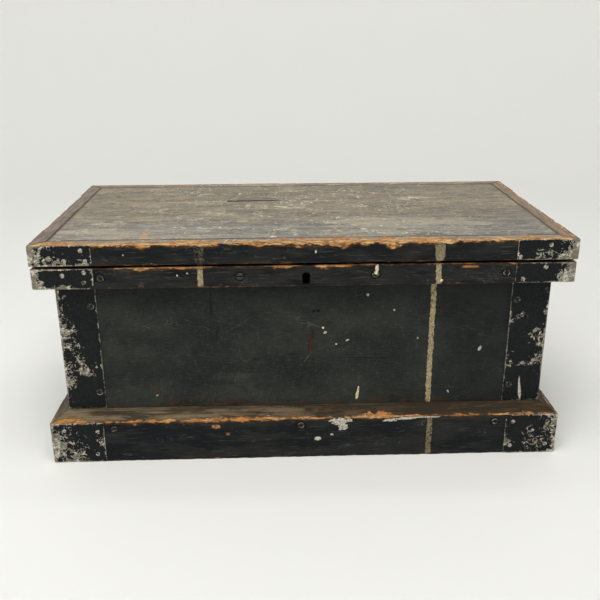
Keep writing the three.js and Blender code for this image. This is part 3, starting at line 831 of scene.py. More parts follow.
CENTRE_Y = (box_mm("plinth_front")[0][1] + box_mm("plinth_back")[1][1]) / 2
SIDES = {"front": 0, "right": 1, "back": 2, "left": 3}  # quarter turns from the front
RIM, BAND, PLINTH = Ring("lid_rim"), Ring("band"), Ring("plinth")
PLATE_MARGIN = 0.4
PLINTH_EDGE_TOP = box_mm("plinth_plate_front_left")[1][2] + PLATE_MARGIN
BODY_OUTER = (box_mm("front_board")[1][0], CENTRE_Y - box_mm("front_board")[0][1])


def turned(points, turns):
    """Points made at the front of a box centred on the origin, turned to one of its sides."""
    cos, sin = ((1, 0), (0, 1), (-1, 0), (0, -1))[turns % 4]
    x, y, z = np.asarray(points, float).T
    return np.stack([cos * x - sin * y, sin * x + cos * y + CENTRE_Y, z], axis=1)


def unturned(points, turns):
    moved = np.asarray(points, float) - (0, CENTRE_Y, 0)
    return turned(moved, -turns) - (0, CENTRE_Y, 0)


# ---- Solids for cutting and for small pieces ------------------------------------------------


def lathe(profile, around=32):
    """A solid turned about Z from (radius, height) points; it starts and ends on the axis."""
    points, rings = [], []
    for radius, height in profile:
        if radius == 0:
            rings.append([len(points)])
            points.append((0, 0, height))
            continue
        rings.append(list(range(len(points), len(points) + around)))
        for i in range(around):
            angle = i / around * math.tau
            points.append((radius * math.cos(angle), radius * math.sin(angle), height))
    faces = []
    for below, above in zip(rings, rings[1:]):
        for i in range(around):
            j = (i + 1) % around
            if len(below) == 1:
                faces.append((below[0], above[j], above[i]))
            elif len(above) == 1:
                faces.append((below[i], below[j], above[0]))
            else:
                faces.append((below[i], below[j], above[j], above[i]))
    return np.array(points), faces


def prism(outline, low, high):
    """An outline in plan, anticlockwise, drawn up from low to high."""
    count = len(outline)
    points = [(x, y, z) for z in (low, high) for x, y in outline]
    faces = [tuple(reversed(range(count))), tuple(range(count, 2 * count))]
    faces += [(i, (i + 1) % count, count + (i + 1) % count, count + i) for i in range(count)]
    return np.array(points, float), faces


def rectangle(left, front, right, back):
    """An outline for prism."""
    return [(left, front), (right, front), (right, back), (left, back)]


def along_x(points, centre):
    """Turns a solid that points up Z so that it lies along X, centred on a place."""
    x, y, z = points.T
    return np.stack([centre[0] + z, centre[1] + x, centre[2] + y], axis=1)


def facing(points, turns, along, out, height):
    """Turns a solid that points up Z so that it points out of one side of the box."""
    x, y, z = np.asarray(points, float).T
    front = np.stack([along + x, -out - z, height + y], axis=1)
    return turned(front, turns)


def joined(solids):
    """One set of points and faces from several."""
    all_points, all_faces, start = [], [], 0
    for points, faces in solids:
        all_points.append(points)
        all_faces.extend(tuple(int(i) + start for i in face) for face in faces)
        start += len(points)
    return np.concatenate(all_points), all_faces


def mesh_points(piece):
    points = np.empty(len(piece.data.vertices) * 3)
    piece.data.vertices.foreach_get("co", points)
    return points.reshape(-1, 3) / MM


def bake_modifiers(piece):
    """Applies every modifier on a piece to its mesh."""
    depsgraph = bpy.context.evaluated_depsgraph_get()
    mesh = bpy.data.meshes.new_from_object(piece.evaluated_get(depsgraph))
    piece.modifiers.clear()
    piece.data = mesh


def carve(piece, solids, material=None):
    """Cuts solids out of a piece, one after the other."""
    cutters = []
    for points, faces, *own in solids:
        cutter = new_piece("cutter", points, faces, own or [material or piece.data.materials[0]])
        modifier = piece.modifiers.new("cut", "BOOLEAN")
        modifier.operation = "DIFFERENCE"
        modifier.solver = "MANIFOLD"
        modifier.object = cutter
        cutters.append(cutter)
    if cutters:
        bake_modifiers(piece)
    for cutter in cutters:
        bpy.data.objects.remove(cutter)


# ---- Boards ---------------------------------------------------------------------------------

FACES = {"start": (0, 0), "end": (0, 1), "outer": (1, 0), "inner": (1, 1), "bottom": (2, 0), "top": (2, 1)}
EDGES = [pair for pair in itertools.combinations(FACES, 2) if FACES[pair[0]][0] != FACES[pair[1]][0]]


def round_edge(a, b, radius):
    """Moves points near an edge, a and b from its two faces, onto a quarter circle."""
    layer = np.minimum(a, b)
    arc = radius - layer
    offset = a - b
    near = (arc > 1e-6) & (np.abs(offset) < arc)
    angle = math.pi / 4 * (1 + offset / np.where(near, arc, 1))
    return np.where(near, radius - arc * np.cos(angle), a), np.where(near, radius - arc * np.sin(angle), b)


class Board:
    """One board, shaped at the front of the box and then turned to its side.

    Its box coordinates run from 0 along its length, in from its outer face and up from its bottom.
    wear gives the Wear of an edge named by its two faces: the first number of a Wear's reach is
    over the face named first.
    """

    def __init__(self, name, side, size, outer, bottom, inner_length=None, rise=0.0, centre=0.0,
                 wear=None, spacing=(1.5, 4.0, 1.5), unevenness=0.2, tight=None, seed=1):
        self.name, self.turns, self.size, self.outer, self.bottom = name, SIDES[side], size, outer, bottom
        self.taper = (inner_length or size[0]) / size[0] - 1
        self.rise, self.centre, self.wear = rise, centre, wear or {}
        self.spacing, self.unevenness, self.seed = spacing, unevenness, seed
        self.tight = tight  # a face whose joint is too tight to get a line of painted shade

    def gap(self, face, box):
        axis, far = FACES[face]
        return self.size[axis] - box[axis] if far else box[axis]

    def set_gap(self, face, box, value):
        axis, far = FACES[face]
        box[axis] = self.size[axis] - value if far else value

    def edge_wear(self, pair):
        return self.wear.get(pair) or self.wear.get(pair[::-1])

    def run(self, pair, box):
        """Place along the edge, from the board's middle."""
        axis = ({0, 1, 2} - {FACES[pair[0]][0], FACES[pair[1]][0]}).pop()
        return box[axis] - self.size[axis] / 2

    def to_box(self, points):
        x, y, z = unturned(points, self.turns).T
        deep = y + self.outer
        share = np.clip(deep / self.size[1], 0, 1)
        along = (x - self.centre) / (1 + self.taper * share) + self.size[0] / 2
        high = (z - self.bottom) / (1 + self.rise / self.size[2] * share)
        return [along, deep, high]

    def from_box(self, box):
        share = box[1] / self.size[1]
        x = (box[0] - self.size[0] / 2) * (1 + self.taper * share) + self.centre
        z = self.bottom + box[2] * (1 + self.rise / self.size[2] * share)
        return turned(np.stack([x, box[1] - self.outer, z], axis=1), self.turns)

    def roughen(self, box):
        """Hand-planed faces: each is a little hollow here and there, never proud."""
        along, deep, high = box
        waves = [noise(self.seed + i, along / 64, deep / 27, high / 27) for i in range(3)]
        hollow = [self.unevenness * (0.5 + 0.5 * wave) for wave in waves]
        share = deep / self.size[1]
        box[1] = deep + hollow[0] * (1 - share) - hollow[1] * share
        box[2] = high - hollow[2] * high / self.size[2]

    def make(self, materials, face_materials=None, cutters=(), cut_material=None):
        """face_materials says which of the materials each named face has; the others have the first."""
        places = [rows(length, step) for length, step in zip(self.size, self.spacing)]
        points, quads, sides = lattice_box(*places)
        box = list(points.T)
        for pair in EDGES:
            wear = self.edge_wear(pair) or Wear(radius=0.5, ragged=0.2, seed=self.seed)
            radius = wear.at(self.run(pair, box))[0]
            a, b = round_edge(self.gap(pair[0], box), self.gap(pair[1], box), radius)
            self.set_gap(pair[0], box, a)
            self.set_gap(pair[1], box, b)
        self.roughen(box)
        chosen = np.zeros(len(LATTICE_SIDES), int)
        for face, index in (face_materials or {}).items():
            chosen[LATTICE_SIDES.index(face)] = index
        piece = new_piece(self.name, self.from_box(box), quads, materials, chosen[sides])
        carve(piece, list(cutters), cut_material)
        self.paint_attributes(piece)
        return piece

    def paint_attributes(self, piece):
        """bare: mm inside the worn strip of an edge. edge: mm to the nearest edge of the top face.

        below_top: mm under the top face. board: the place in the board, for its grain.
        """
        box = self.to_box(mesh_points(piece))
        bare = np.full(len(box[0]), -99.0)
        for pair, wear in self.wear.items():
            first, second = [self.gap(face, box) for face in pair]
            _, over_first, over_second = wear.at(self.run(pair, box))
            reach = np.where(second > first, over_first - second, over_second - first)
            bare = np.maximum(bare, reach)
        set_attribute(piece, "bare", bare)
        margins = [self.gap(face, box) + 9 * (face == self.tight) for face in LATTICE_SIDES[:4]]
        set_attribute(piece, "edge", np.minimum.reduce(margins))
        set_attribute(piece, "below_top", self.gap("top", box))
        offset = np.array([self.seed * 57.3, self.seed * 31.7, self.seed * 17.9])
        attribute = piece.data.attributes.new("board", "FLOAT_VECTOR", "POINT")
        attribute.data.foreach_set("vector", (np.stack(box, axis=1) + offset).astype(np.float32).ravel())


def mitred_boards(prefix, ring, body, slot_name, wears, rise=0.0, materials=(), face_materials=None,
                  cutters=None, seed=0):
    """Four boards of a mitred frame. wears gives each side's edges, with "any" for the others."""
    trim = 0.15
    for side, turns in SIDES.items():
        axis = turns % 2
        outer_length = 2 * (ring.outer[axis] - trim)
        inner_length = 2 * (ring.inner[axis] - trim)
        thickness = ring.outer[1 - axis] - ring.inner[1 - axis]
        size = (outer_length, thickness, ring.top - ring.bottom - rise)
        board = Board(f"{prefix}_{side}_board", side, size, ring.outer[1 - axis], ring.bottom,
                      inner_length, rise, wear=wears.get(side, wears["any"]),
                      spacing=(1.4 if side == "front" else 2.0, 3.0, 1.4), seed=seed + turns)
        piece = board.make(list(materials), face_materials, (cutters or {}).get(side, ()))
        stand_for(piece, body, slot_name, f"{prefix}_{side}")


# Holes.

SCREW_RADIUS = 4.4
SCREW_HEAD_DEPTH = 2.7
HOLE_RADIUS = 5.3
HOLE_DEPTH = 2.9
WALL_OF_CUT = 3.0  # how far a cutting solid stands out of the face it cuts


def countersink(along, height, out):
    profile = [(0, -HOLE_DEPTH - 1), (1.5, -HOLE_DEPTH - 1), (1.8, -HOLE_DEPTH + 0.6)]
    profile += [(HOLE_RADIUS - 0.5, -0.9), (HOLE_RADIUS, -0.3), (HOLE_RADIUS + 0.5, 0.4)]
    profile += [(HOLE_RADIUS + 0.5, WALL_OF_CUT), (0, WALL_OF_CUT)]
    points, faces = lathe(profile, 28)
    return facing(points, 0, along, out, height), faces


def keyhole(out, depth):
    """A round hole with a straight slot below it, cut from the front."""
    radius, slot_half_width = 4.1, 3.5
    centre_z, bottom_z = 192.6, 184.1
    start = math.asin(slot_half_width / radius) - math.pi / 2
    turn = math.tau - 2 * (start + math.pi / 2)
    outline = [(radius * math.cos(start + turn * i / 24), radius * math.sin(start + turn * i / 24))
               for i in range(25)]
    drop = bottom_z - centre_z
    rounding = [(0.0, 2.2), (0.5, 0.9), (1.8, 0.0)]
    outline += [(inset - slot_half_width, drop + rise) for inset, rise in rounding]
    outline += [(slot_half_width - inset, drop + rise) for inset, rise in reversed(rounding)]
    points, faces = prism(outline, -depth, WALL_OF_CUT)
    # The cut faces take the near-black painted shade of the keyhole.
    return facing(points, 0, 0, out, centre_z), faces, KEYHOLE_SHADE_MATERIAL


def barrel_recesses():
    """Room for the hinges' knuckles."""
    solids = []
    for side in ("left", "right"):
        low, high = box_mm(f"hinge_{side}_pin")
        half_length = (high[0] - low[0]) / 2 + 1.2
        profile = [(0, -half_length), (3.1, -half_length), (3.1, half_length), (0, half_length)]
        points, faces = lathe(profile, 24)
        solids.append((along_x(points, (low + high) / 2), faces))
    return solids


def screw_places(prefix):
    """(node, x, z) of each CAD screw whose name starts so."""
    places = []
    for node in sorted(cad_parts):
        if node.startswith(prefix):
            low, high = box_mm(node)
            places.append((node, (low[0] + high[0]) / 2, (low[2] + high[2]) / 2))
    return places


BAND_OUT, PLINTH_OUT, BODY_OUT = BAND.outer[1], PLINTH.outer[1], BODY_OUTER[1]
BAND_SCREWS, PLINTH_SCREWS = screw_places("band_screw"), screw_places("plinth_screw")

# Lid rim, band and plinth.


def outer_edges(top, bottom):
    """The wear of a board's two outer edges."""
    return {("top", "outer"): top, ("bottom", "outer"): bottom}


def make_rim():
    foot = Wear(0.8, 0, -1.2, 0.9)
    front_foot = Wear(0.8, 0, -1.2, 0.9, seed=8)
    front_patches = [(-152, 10, 1.2, 2.5, 3.0), (30, 110, 0.6, 4.5, 1.6), (85, 14, 0.6, 0, 1.8)]
    wears = {
        "any": outer_edges(Wear(1.3, 4.0, 1.2, 0.5, seed=5), foot),
        "front": outer_edges(Wear(1.9, 9.5, 1.6, 0.42, front_patches, seed=3), front_foot),
        "right": outer_edges(Wear(1.4, 3.0, 1.0, 0.9, seed=15), foot),
        "left": outer_edges(Wear(1.2, 1.0, 0.8, 0.9, seed=25), foot),
    }
    mitred_boards("lid_rim", RIM, "lid", "trim_wood", wears, materials=(TRIM_PAINT, LID_TOP, PLAIN_WOOD),
                  face_materials={"top": 1, "inner": 2}, cutters={"back": barrel_recesses()}, seed=10)


def make_band():
    top_patches = [(-138, 44, 0.5, 3, 1.5), (-22, 9, 0.4, 3, 2.2)]
    top_patches += [(26, 14, 0.8, 4, 3.8), (52, 14, 0.4, 3, 1.4)]
    front_top = Wear(0.7, 0.6, -0.6, 0.8, top_patches, seed=4)
    front_foot = Wear(0.7, 0, -1.5, 0.7, [(-98, 25, 0.2, 0.5, 1.6), (60, 40, 0.2, 0.4, 1.0)], seed=9)
    wears = {
        "any": outer_edges(Wear(0.8, 1.5, 0.6, 0.9, seed=6), Wear(0.7, 0, -1.2, 0.9)),
        "front": outer_edges(front_top, front_foot),
    }
    cuts = [countersink(x, z, BAND_OUT) for _, x, z in BAND_SCREWS] + [keyhole(BAND_OUT, 20)]
    mitred_boards("band", BAND, "chest", "trim_wood", wears, materials=(TRIM_PAINT, PLAIN_WOOD),
                  face_materials={"inner": 1}, cutters={"front": cuts, "back": barrel_recesses()}, seed=20)


def make_plinth():
    top_patches = [(-235, 16, 0.8, 4, 2), (-112, 104, 0.5, 1.6, 1.2), (75, 16, 0.4, 3.5, 0.8)]
    front_top = Wear(1.1, 1.3, 0.3, 0.7, top_patches, seed=7)
    wears = {
        "any": outer_edges(Wear(1.1, 1.6, 0.9, 0.9, seed=16), Wear(1.0, 0, 0.5, 0.9)),
        "front": outer_edges(front_top, Wear(1.0, 0, -1.0, 0.9, seed=12)),
    }
    cuts = [countersink(x, z, PLINTH_OUT) for _, x, z in PLINTH_SCREWS]
    mitred_boards("plinth", PLINTH, "chest", "trim_wood", wears, rise=PLINTH.top - PLINTH_EDGE_TOP,
                  materials=(TRIM_PAINT, LEDGE, PLAIN_WOOD), cutters={"front": cuts}, seed=30,
                  face_materials={"top": 1, "inner": 2, "bottom": 2})


# Body.

FITTING_GAP = 0.3  # round the lock and the link plate
OLD_HOLES = ((8.0, 152.0), (12.4, 152.0))


def wall(name, node, side, spacing, cutters=(), seed=1):
    low, high = box_mm(node)
    sideways = SIDES[side] % 2
    spans = high - low
    size = (spans[sideways], spans[1 - sideways], spans[2])
    outer = BODY_OUTER[1 - sideways]
    wear = {
        ("top", "outer"): Wear(0.9, 2, 1, 0.8, seed=seed),
        ("top", "inner"): Wear(0.9, 1, 1, 0.8, seed=seed),
    }
    board = Board(name, side, size, outer, low[2], wear=wear, spacing=spacing, unevenness=0.3, seed=seed)
    face_materials = {"inner": 1, "start": 1, "end": 1, "bottom": 1}
    piece = board.make([BODY_PAINT, PLAIN_WOOD], face_materials, cutters, PLAIN_WOOD)
    stand_for(piece, "chest", "body_wood", node)


def lock_recess():
    """Room for the lock in the inner face of the front wall."""
    solids = []
    for node in ("lock_case", "lock_cover"):
        low, high = box_mm(node)
        outline = rectangle(low[0] - FITTING_GAP, low[1] - FITTING_GAP, high[0] + FITTING_GAP, 0)
        solids.append(prism(outline, low[2] - FITTING_GAP, high[2] + 5))
    return solids


def hole(x, z, out, radius, depth):
    """A cutter for a small round hole in the front."""
    points, faces = lathe([(0, -depth), (radius, -depth), (radius, 2), (0, 2)], 16)
    return facing(points, 0, x, out, z), faces, BODY_PAINT


def make_body():
    old_holes = [hole(x, z, BODY_OUT, 1.3, 4) for x, z in OLD_HOLES]
    front_cuts = lock_recess() + [keyhole(BODY_OUT, 12)] + old_holes
    wall("front_wall", "front_board", "front", (2.0, 4.0, 2.0), front_cuts, seed=41)
    wall("back_wall", "back_board", "back", (2.4, 4.0, 2.4), seed=42)
    wall("left_wall", "left_end_board", "left", (2.4, 4.0, 2.4), seed=43)
    wall("right_wall", "right_end_board", "right", (2.4, 4.0, 2.4), seed=44)
    low, high = box_mm("bottom_board")
    size = tuple(high - low)
    floor_board = Board("floor_board", "front", size, CENTRE_Y - low[1], low[2], spacing=(4, 4, 3), seed=45)
    stand_for(floor_board.make([PLAIN_WOOD]), "chest", "bare_wood", "bottom_board")


# Lid boards.


def coin_slot():
    """The tapering slot in the back edge of the front lid board, worn at its edges."""
    joint = LID_JOINT_Y
    left, knee, right = COIN_SLOT_LEFT, -31.5, COIN_SLOT_RIGHT
    left_width, knee_width = 4.7, 2.7
    outline = [(left, joint + 3), (left, joint - left_width)]
    steps = 24
    for i in range(1, steps):
        x = left + (knee - left) * i / steps
        ragged = 0.25 * float(noise(70, np.array([x / 3.0]))[0])
        outline.append((x, joint - left_width + (left_width - knee_width) * i / steps + ragged))
    outline += [(knee, joint - knee_width), (right, joint), (right, joint + 3)]
    low, high = box_mm("lid_board_front")
    return prism(outline, low[2] - 3, high[2] + 3)


def link_recess():
    """Room for the link plate in the underside of the lid."""
    low, high = box_mm("lock_link_plate")
    near, far = low - FITTING_GAP, high + FITTING_GAP
    return prism(rectangle(near[0], near[1], far[0], far[1]), low[2] - 3, far[2])


def make_lid_boards():
    joint_wear = Wear(0.7, -0.5, 0, 0.8, seed=51)
    for node, cutters, tight, seed in (
        ("lid_board_front", [coin_slot(), link_recess()], "inner", 52),
        ("lid_board_rear", [], "outer", 53),
    ):
        low, high = box_mm(node)
        wear = {("top", face): joint_wear for face in ("outer", "inner", "start", "end")}
        board = Board(node.replace("lid_board", "lid_top"), "front", tuple(high - low), CENTRE_Y - low[1],
                      low[2], wear=wear, spacing=(2.0, 2.0, 4.0), unevenness=0.35, tight=tight, seed=seed)
        piece = board.make([LID_TOP, PLAIN_WOOD], {"bottom": 1}, cutters, PLAIN_WOOD)
        stand_for(piece, "lid", "lid_top_wood", node)


make_rim()
make_band()
make_plinth()
make_body()
make_lid_boards()

# ---- Corner plates --------------------------------------------------------------------------

CORNERS = {"front_left": (-1, -1), "front_right": (1, -1), "back_left": (-1, 1), "back_right": (1, 1)}


def sheet_wear(bend_wear, edge, front, z, patches):
    """How worn a sheet is: most at its bend, at its edges and in its patches."""
    worn = bend_wear + 0.72 * np.exp(-edge / 1.0) + 0.13
    for patch_u, patch_z, patch_radius, amount in patches:
        reach = np.hypot(front - patch_u, z - patch_z) / patch_radius
        worn = worn + amount * np.exp(-(reach**2))
    return worn


def corner_plate(name, node, body, thickness, inset, bend, clip=0.0, patches=(), seed=1):
    """A bent sheet round an upright corner, its outer face `inset` inside the CAD plate's.

    clip cuts off the lower corner of its front leg. patches are (u, z, radius, amount) of extra
    wear, with u in mm from the bend, positive along the front.
    """
    low, high = box_mm(node)
    side, end = CORNERS[node.split("_plate_")[-1].split("corner_angle_")[-1]]
    corner_x = (high[0] if side > 0 else -low[0]) - inset
    corner_y = (high[1] - CENTRE_Y if end > 0 else CENTRE_Y - low[1]) - inset
    leg = high[0] - low[0] - inset
    bottom, height = low[2], high[2] - low[2]
    straight, arc = leg - bend, bend * math.pi / 2
    total = 2 * straight + arc
    near_bend = straight + np.linspace(0, arc, 7)
    along = np.unique(np.concatenate([rows(straight, 1.6), near_bend, straight + arc + rows(straight, 1.6)]))
    points, quads, _ = lattice_box(along, np.array([0, thickness]), rows(height, 1.6))
    u, deep, high_up = points.T
    from_bend = np.abs(u - total / 2)
    edge = np.minimum(np.minimum(u, total - u), np.minimum(high_up, height - high_up))
    ragged = 0.12 * noise(seed, u / 5, high_up / 5)
    bumps = 0.10 * (1 + noise(seed + 3, u / 9, high_up / 9)) + np.where(edge < 0.5, 0.12, 0)
    u = np.clip(u + np.where(u < 1, ragged, 0), 0, total)
    if clip:
        cut = np.clip(clip - u - high_up, 0, None)
        high_up = high_up + np.where(u < clip, cut * (1 - high_up / height), 0)
    depth = deep + bumps
    angle = np.clip((u - straight) / bend, 0, math.pi / 2)
    past = np.clip(u - straight - arc, 0, None)
    before = np.clip(straight - u, 0, None)
    radius = bend - depth
    x = corner_x - bend + radius * np.sin(angle) - before
    y = corner_y - bend + radius * np.cos(angle) - past
    place = np.stack([side * x, end * y + CENTRE_Y, bottom + high_up], axis=1)
    if side * end < 0:
        quads = quads[:, ::-1]
    piece = new_piece(name, place, quads[:, ::-1], [CORNER_METAL])
    bend_wear = 0.62 * np.exp(-from_bend / 3) if "angle" in node else 0.72 * np.exp(-from_bend / 6)
    front = np.where(u < total / 2, from_bend, -from_bend)
    set_attribute(piece, "worn", sheet_wear(bend_wear, edge, front, bottom + high_up, patches))
    stand_for(piece, body, "corner_metal", node)
    return piece


PLATE_SKIN = 0.55  # thickness of the lid, band and plinth plates
PLATE_INSET = 0.38  # leaves room for the nail heads inside the box

PLATE_WEAR = {
    "lid_plate_front_left": [(30, 207, 14, 0.45), (50, 207, 8, 0.5), (7, 214, 9, 0.5), (20, 214, 9, 0.2)],
    "lid_plate_front_right": [
        (4, 214, 12, 0.5), (14, 210, 8, 0.4), (26, 212, 5, 0.35), (36, 212, 8, 0.50), (56, 215, 4, 0.4),
    ],
    "band_plate_front_left": [(28, 193, 50, 0.7), (17, 195, 9, -1.2), (42, 196, 11, -1.2), (30, 184, 5, 0.5)],
    "band_plate_front_right": [(4, 192, 11, 0.65), (15, 187, 7, 0.4)],
    "plinth_plate_front_left": [(26, 4, 12, 0.5), (2, 20, 14, 0.6), (50, 22, 6, 0.5), (30, 26, 22, 0.30)],
    "plinth_plate_front_right": [(24, 12, 18, 0.34), (50, 14, 6, 0.5), (10, 34, 8, 0.3), (26, 30, 22, 0.15)],
    "corner_angle_front_left": [
        (4, 135, 14, 0.5), (13, 118, 8, 0.45), (17, 102, 8, 0.5), (20, 92, 6, 0.75), (26, 90, 5, 0.4),
        (4, 96, 10, 0.4), (6, 80, 7, 0.7), (4, 168, 16, 0.3), (33, 100, 6, 0.3), (14, 134, 7, 0.3),
    ],
    "corner_angle_front_right": [
        (1, 120, 30, 0.2), (20, 93, 4, 0.75), (11, 94, 4, 0.7), (33, 92, 4, 0.6), (12, 124, 6, 0.42),
        (35, 140, 6, 0.5), (26, 146, 5, 0.42), (34, 104, 5, 0.4), (4, 116, 6, 0.4), (5, 98, 6, 0.4),
    ],
}
# Each kind of plate: its body and how much of its lower corner is clipped at the left.
PLATE_KINDS = (("lid_plate", "lid", 3.0), ("band_plate", "chest", 4.0), ("plinth_plate", "chest", 0))


def make_corner_plates():
    for corner in CORNERS:
        for prefix, body, clip in PLATE_KINDS:
            node = f"{prefix}_{corner}"
            wear = PLATE_WEAR.get(node, [(10, box_mm(node)[0][2] + 8, 14, 0.3)])
            clipped = clip if corner.endswith("left") else 0
            seed = 60 + len(node) + 7 * list(CORNERS).index(corner)
            corner_plate(f"{node}_sheet", node, body, PLATE_SKIN, PLATE_INSET, 1.1, clipped, wear, seed)
        node = f"corner_angle_{corner}"
        wear = PLATE_WEAR.get(node, [(6, 110, 30, 0.35)])
        seed = 90 + 7 * list(CORNERS).index(corner)
        corner_plate(f"{node}_sheet", node, "chest", 1.0, 0.05, 2.4, 0, wear, seed)


make_corner_plates()

# ---- Screws and nails -----------------------------------------------------------------------


SMALL_SCREW = (233.0, 171.7)  # x, z of the odd one in the right front angle
SUNK, ANGLE_SUNK = 0.9, 0.12  # how deep screw heads sit, in the trim and in the corner angles


def screw_head(slot_angle, length, scale=1.0):
    """A slotted countersunk screw that points up Z, its head's rim at height 0."""
    profile = [(0, -length), (1.3, -length + 3), (1.5, -SCREW_HEAD_DEPTH), (SCREW_RADIUS - 0.15, -0.35)]
    profile += [(SCREW_RADIUS, -0.18), (SCREW_RADIUS - 0.12, 0), (SCREW_RADIUS * 0.6, 0.06), (0, 0.1)]
    points, faces = lathe(profile, 40)
    screw = new_piece("screw", points, faces, [DARK_IRON])
    half_length, half_width, floor = SCREW_RADIUS + 1, 0.55, -1.1
    cos, sin = math.cos(slot_angle), math.sin(slot_angle)
    corners = rectangle(-half_length, -half_width, half_length, half_width)
    outline = [(cos * x - sin * y, sin * x + cos * y) for x, y in corners]
    carve(screw, [prism(outline, floor, 1.0)])
    points = mesh_points(screw)
    from_axis = np.hypot(points[:, 0], points[:, 1]) / SCREW_RADIUS
    # Points below the head's face, as in its slot, get a rim past 1, which dark_iron paints black as shade.
    set_attribute(screw, "rim", np.where(points[:, 2] < -0.25, 1.5, from_axis))
    return points * scale, screw


def place_screw(name, turns, along, out, height, slot_angle, length, node=None, scale=1.0):
    head_points, screw = screw_head(slot_angle, length, scale)
    screw.name = name
    points = facing(head_points, turns, along, out, height) * MM
    screw.data.vertices.foreach_set("co", points.ravel())
    screw.data.update()
    stand_for(screw, "chest", "ironwork", *([node] if node else []))


def make_screws():
    slots = {"band_screw_1": 2.2, "band_screw_2": 0.0, "band_screw_3": 0.5, "band_screw_4": 1.57}
    slots |= {"plinth_screw_1": 0.4, "plinth_screw_2": 0.15, "plinth_screw_3": 0.2}
    for node, x, z in BAND_SCREWS:
        place_screw(f"{node}_iron", 0, x, BAND_OUT - SUNK, z, slots[node], 20, node)
    for node, x, z in PLINTH_SCREWS:
        place_screw(f"{node}_iron", 0, x, PLINTH_OUT - SUNK, z, slots[node], 20, node)
    angle_out = CENTRE_Y - box_mm("corner_angle_front_left")[0][1]
    for i, (node, x, z) in enumerate(screw_places("angle_screw")):
        place_screw(f"{node}_iron", 0, x, angle_out - ANGLE_SUNK, z, 0.8 * i, 12, node)
    place_screw("angle_small_screw", 0, SMALL_SCREW[0], angle_out - ANGLE_SUNK, SMALL_SCREW[1], 0.6, 16, scale=0.6)
    side_out = box_mm("corner_angle_front_right")[1][0]
    for turns, name in ((1, "right"), (3, "left")):
        for i, (along, height) in enumerate(itertools.product((-92, 92), (70, 161))):
            place_screw(f"side_angle_screw_{name}_{i}", turns, along, side_out - ANGLE_SUNK, height, 0.7 * i, 12)
    for i, (along, height) in enumerate(itertools.product((-205, 205), (70, 161))):
        place_screw(f"back_angle_screw_{i}", 2, along, angle_out - ANGLE_SUNK, height, 0.9 * i, 12)


def nail(turns, along, out, height, radius=2.2, dome=0.38):
    profile = [(0, -0.5), (radius * 0.9, -0.5), (radius, -0.1)]
    profile += [(radius * math.cos(a), dome * math.sin(a)) for a in (0.25, 0.5, 0.8, 1.15)] + [(0, dome)]
    points, faces = lathe(profile, 20)
    return facing(points, turns, along, out, height), faces


FRONT_NAILS = {
    "lid": [(-205, 221), (-221, 211), (-202, 210.5), (-243, 216), (198.7, 209.4), (226.5, 220.6), (244, 210)],
    "band": [(-224, 197), (-204, 199.7), (-205, 190), (-243, 190), (224, 199), (203.4, 187.6), (243.7, 196)],
    "plinth": [(-240, 36), (-207, 34), (-209, 9), (-242, 10), (207, 9), (208, 36), (243, 36), (243, 10)],
}
SIDE_NAILS = {"lid": ((-7, 6), (-24, -2), (-47, 5)), "band": ((-8, -4), (-27, 5), (-48, -5)),
              "plinth": ((-9, 13), (-10, -13), (-44, 12), (-45, -13))}


def make_nails():
    for prefix, ring, body in (("lid", RIM, "lid"), ("band", BAND, "chest"), ("plinth", PLINTH, "chest")):
        low, high = box_mm(f"{prefix}_plate_front_right")
        outs = (CENTRE_Y - low[1] - PLATE_INSET - 0.05, high[0] - PLATE_INSET - 0.05)
        middle = (low[2] + high[2]) / 2
        solids = [nail(0, x, outs[0], z) for x, z in FRONT_NAILS[prefix]]
        for turns in (1, 2, 3):
            half = ring.outer[turns % 2]
            for sign, (inwards, up) in itertools.product((-1, 1), SIDE_NAILS[prefix]):
                solids.append(nail(turns, sign * (half + inwards), outs[turns % 2], middle + up))
        piece = new_piece(f"{prefix}_plate_nails", *joined(solids), [NAIL_METAL])
        stand_for(piece, body, "ironwork")


make_screws()
make_nails()

# ---- Hinges and lock ------------------------------------------------------------------------

BARREL_RADIUS, BORE_RADIUS, PIN_RADIUS = 2.6, 1.58, 1.5
KNUCKLE = 20.0  # length of each of a hinge's three knuckles
LEAF_THICKNESS = 0.9
LEAF_GAP = 0.15  # between each leaf and the hinge's axis, in height
LID_LEAF_HALF_LENGTH = 29.8
LEAF_SCREWS_IN = 5.2  # from the leaf's inner edge to its screws


def tube_along_x(centre, half_length, outer, inner, around=40):
    """A tube with softened ends; its profile closes on itself."""
    soft = 0.25
    profile = [(inner, -half_length), (outer - soft, -half_length), (outer, soft - half_length),
               (outer, half_length - soft), (outer - soft, half_length), (inner, half_length)]
    points, faces = [], []
    for radius, along in profile:
        for i in range(around):
            angle = i / around * math.tau
            points.append((centre[0] + along, centre[1] + radius * math.cos(angle),
                           centre[2] + radius * math.sin(angle)))
    for ring in range(len(profile)):
        following = (ring + 1) % len(profile)
        for i in range(around):
            j = (i + 1) % around
            near, far = ring * around, following * around
            faces.append((near + i, near + j, far + j, far + i))
    return np.array(points), faces


def knuckles(axis, offsets, leaf_back, bottom):
    """The rolled barrels of one leaf and the tongues that join them to it."""
    half = KNUCKLE / 2 - 0.2
    reach = half * 0.999
    solids = [tube_along_x(axis + (o, 0, 0), half, BARREL_RADIUS, BORE_RADIUS) for o in offsets]
    for offset in offsets:
        left, right = axis[0] + offset - reach, axis[0] + offset + reach
        outline = rectangle(left, leaf_back - 0.6, right, axis[1] - BORE_RADIUS - 0.3)
        solids.append(prism(outline, bottom + 0.02, bottom + LEAF_THICKNESS - 0.02))
    return solids


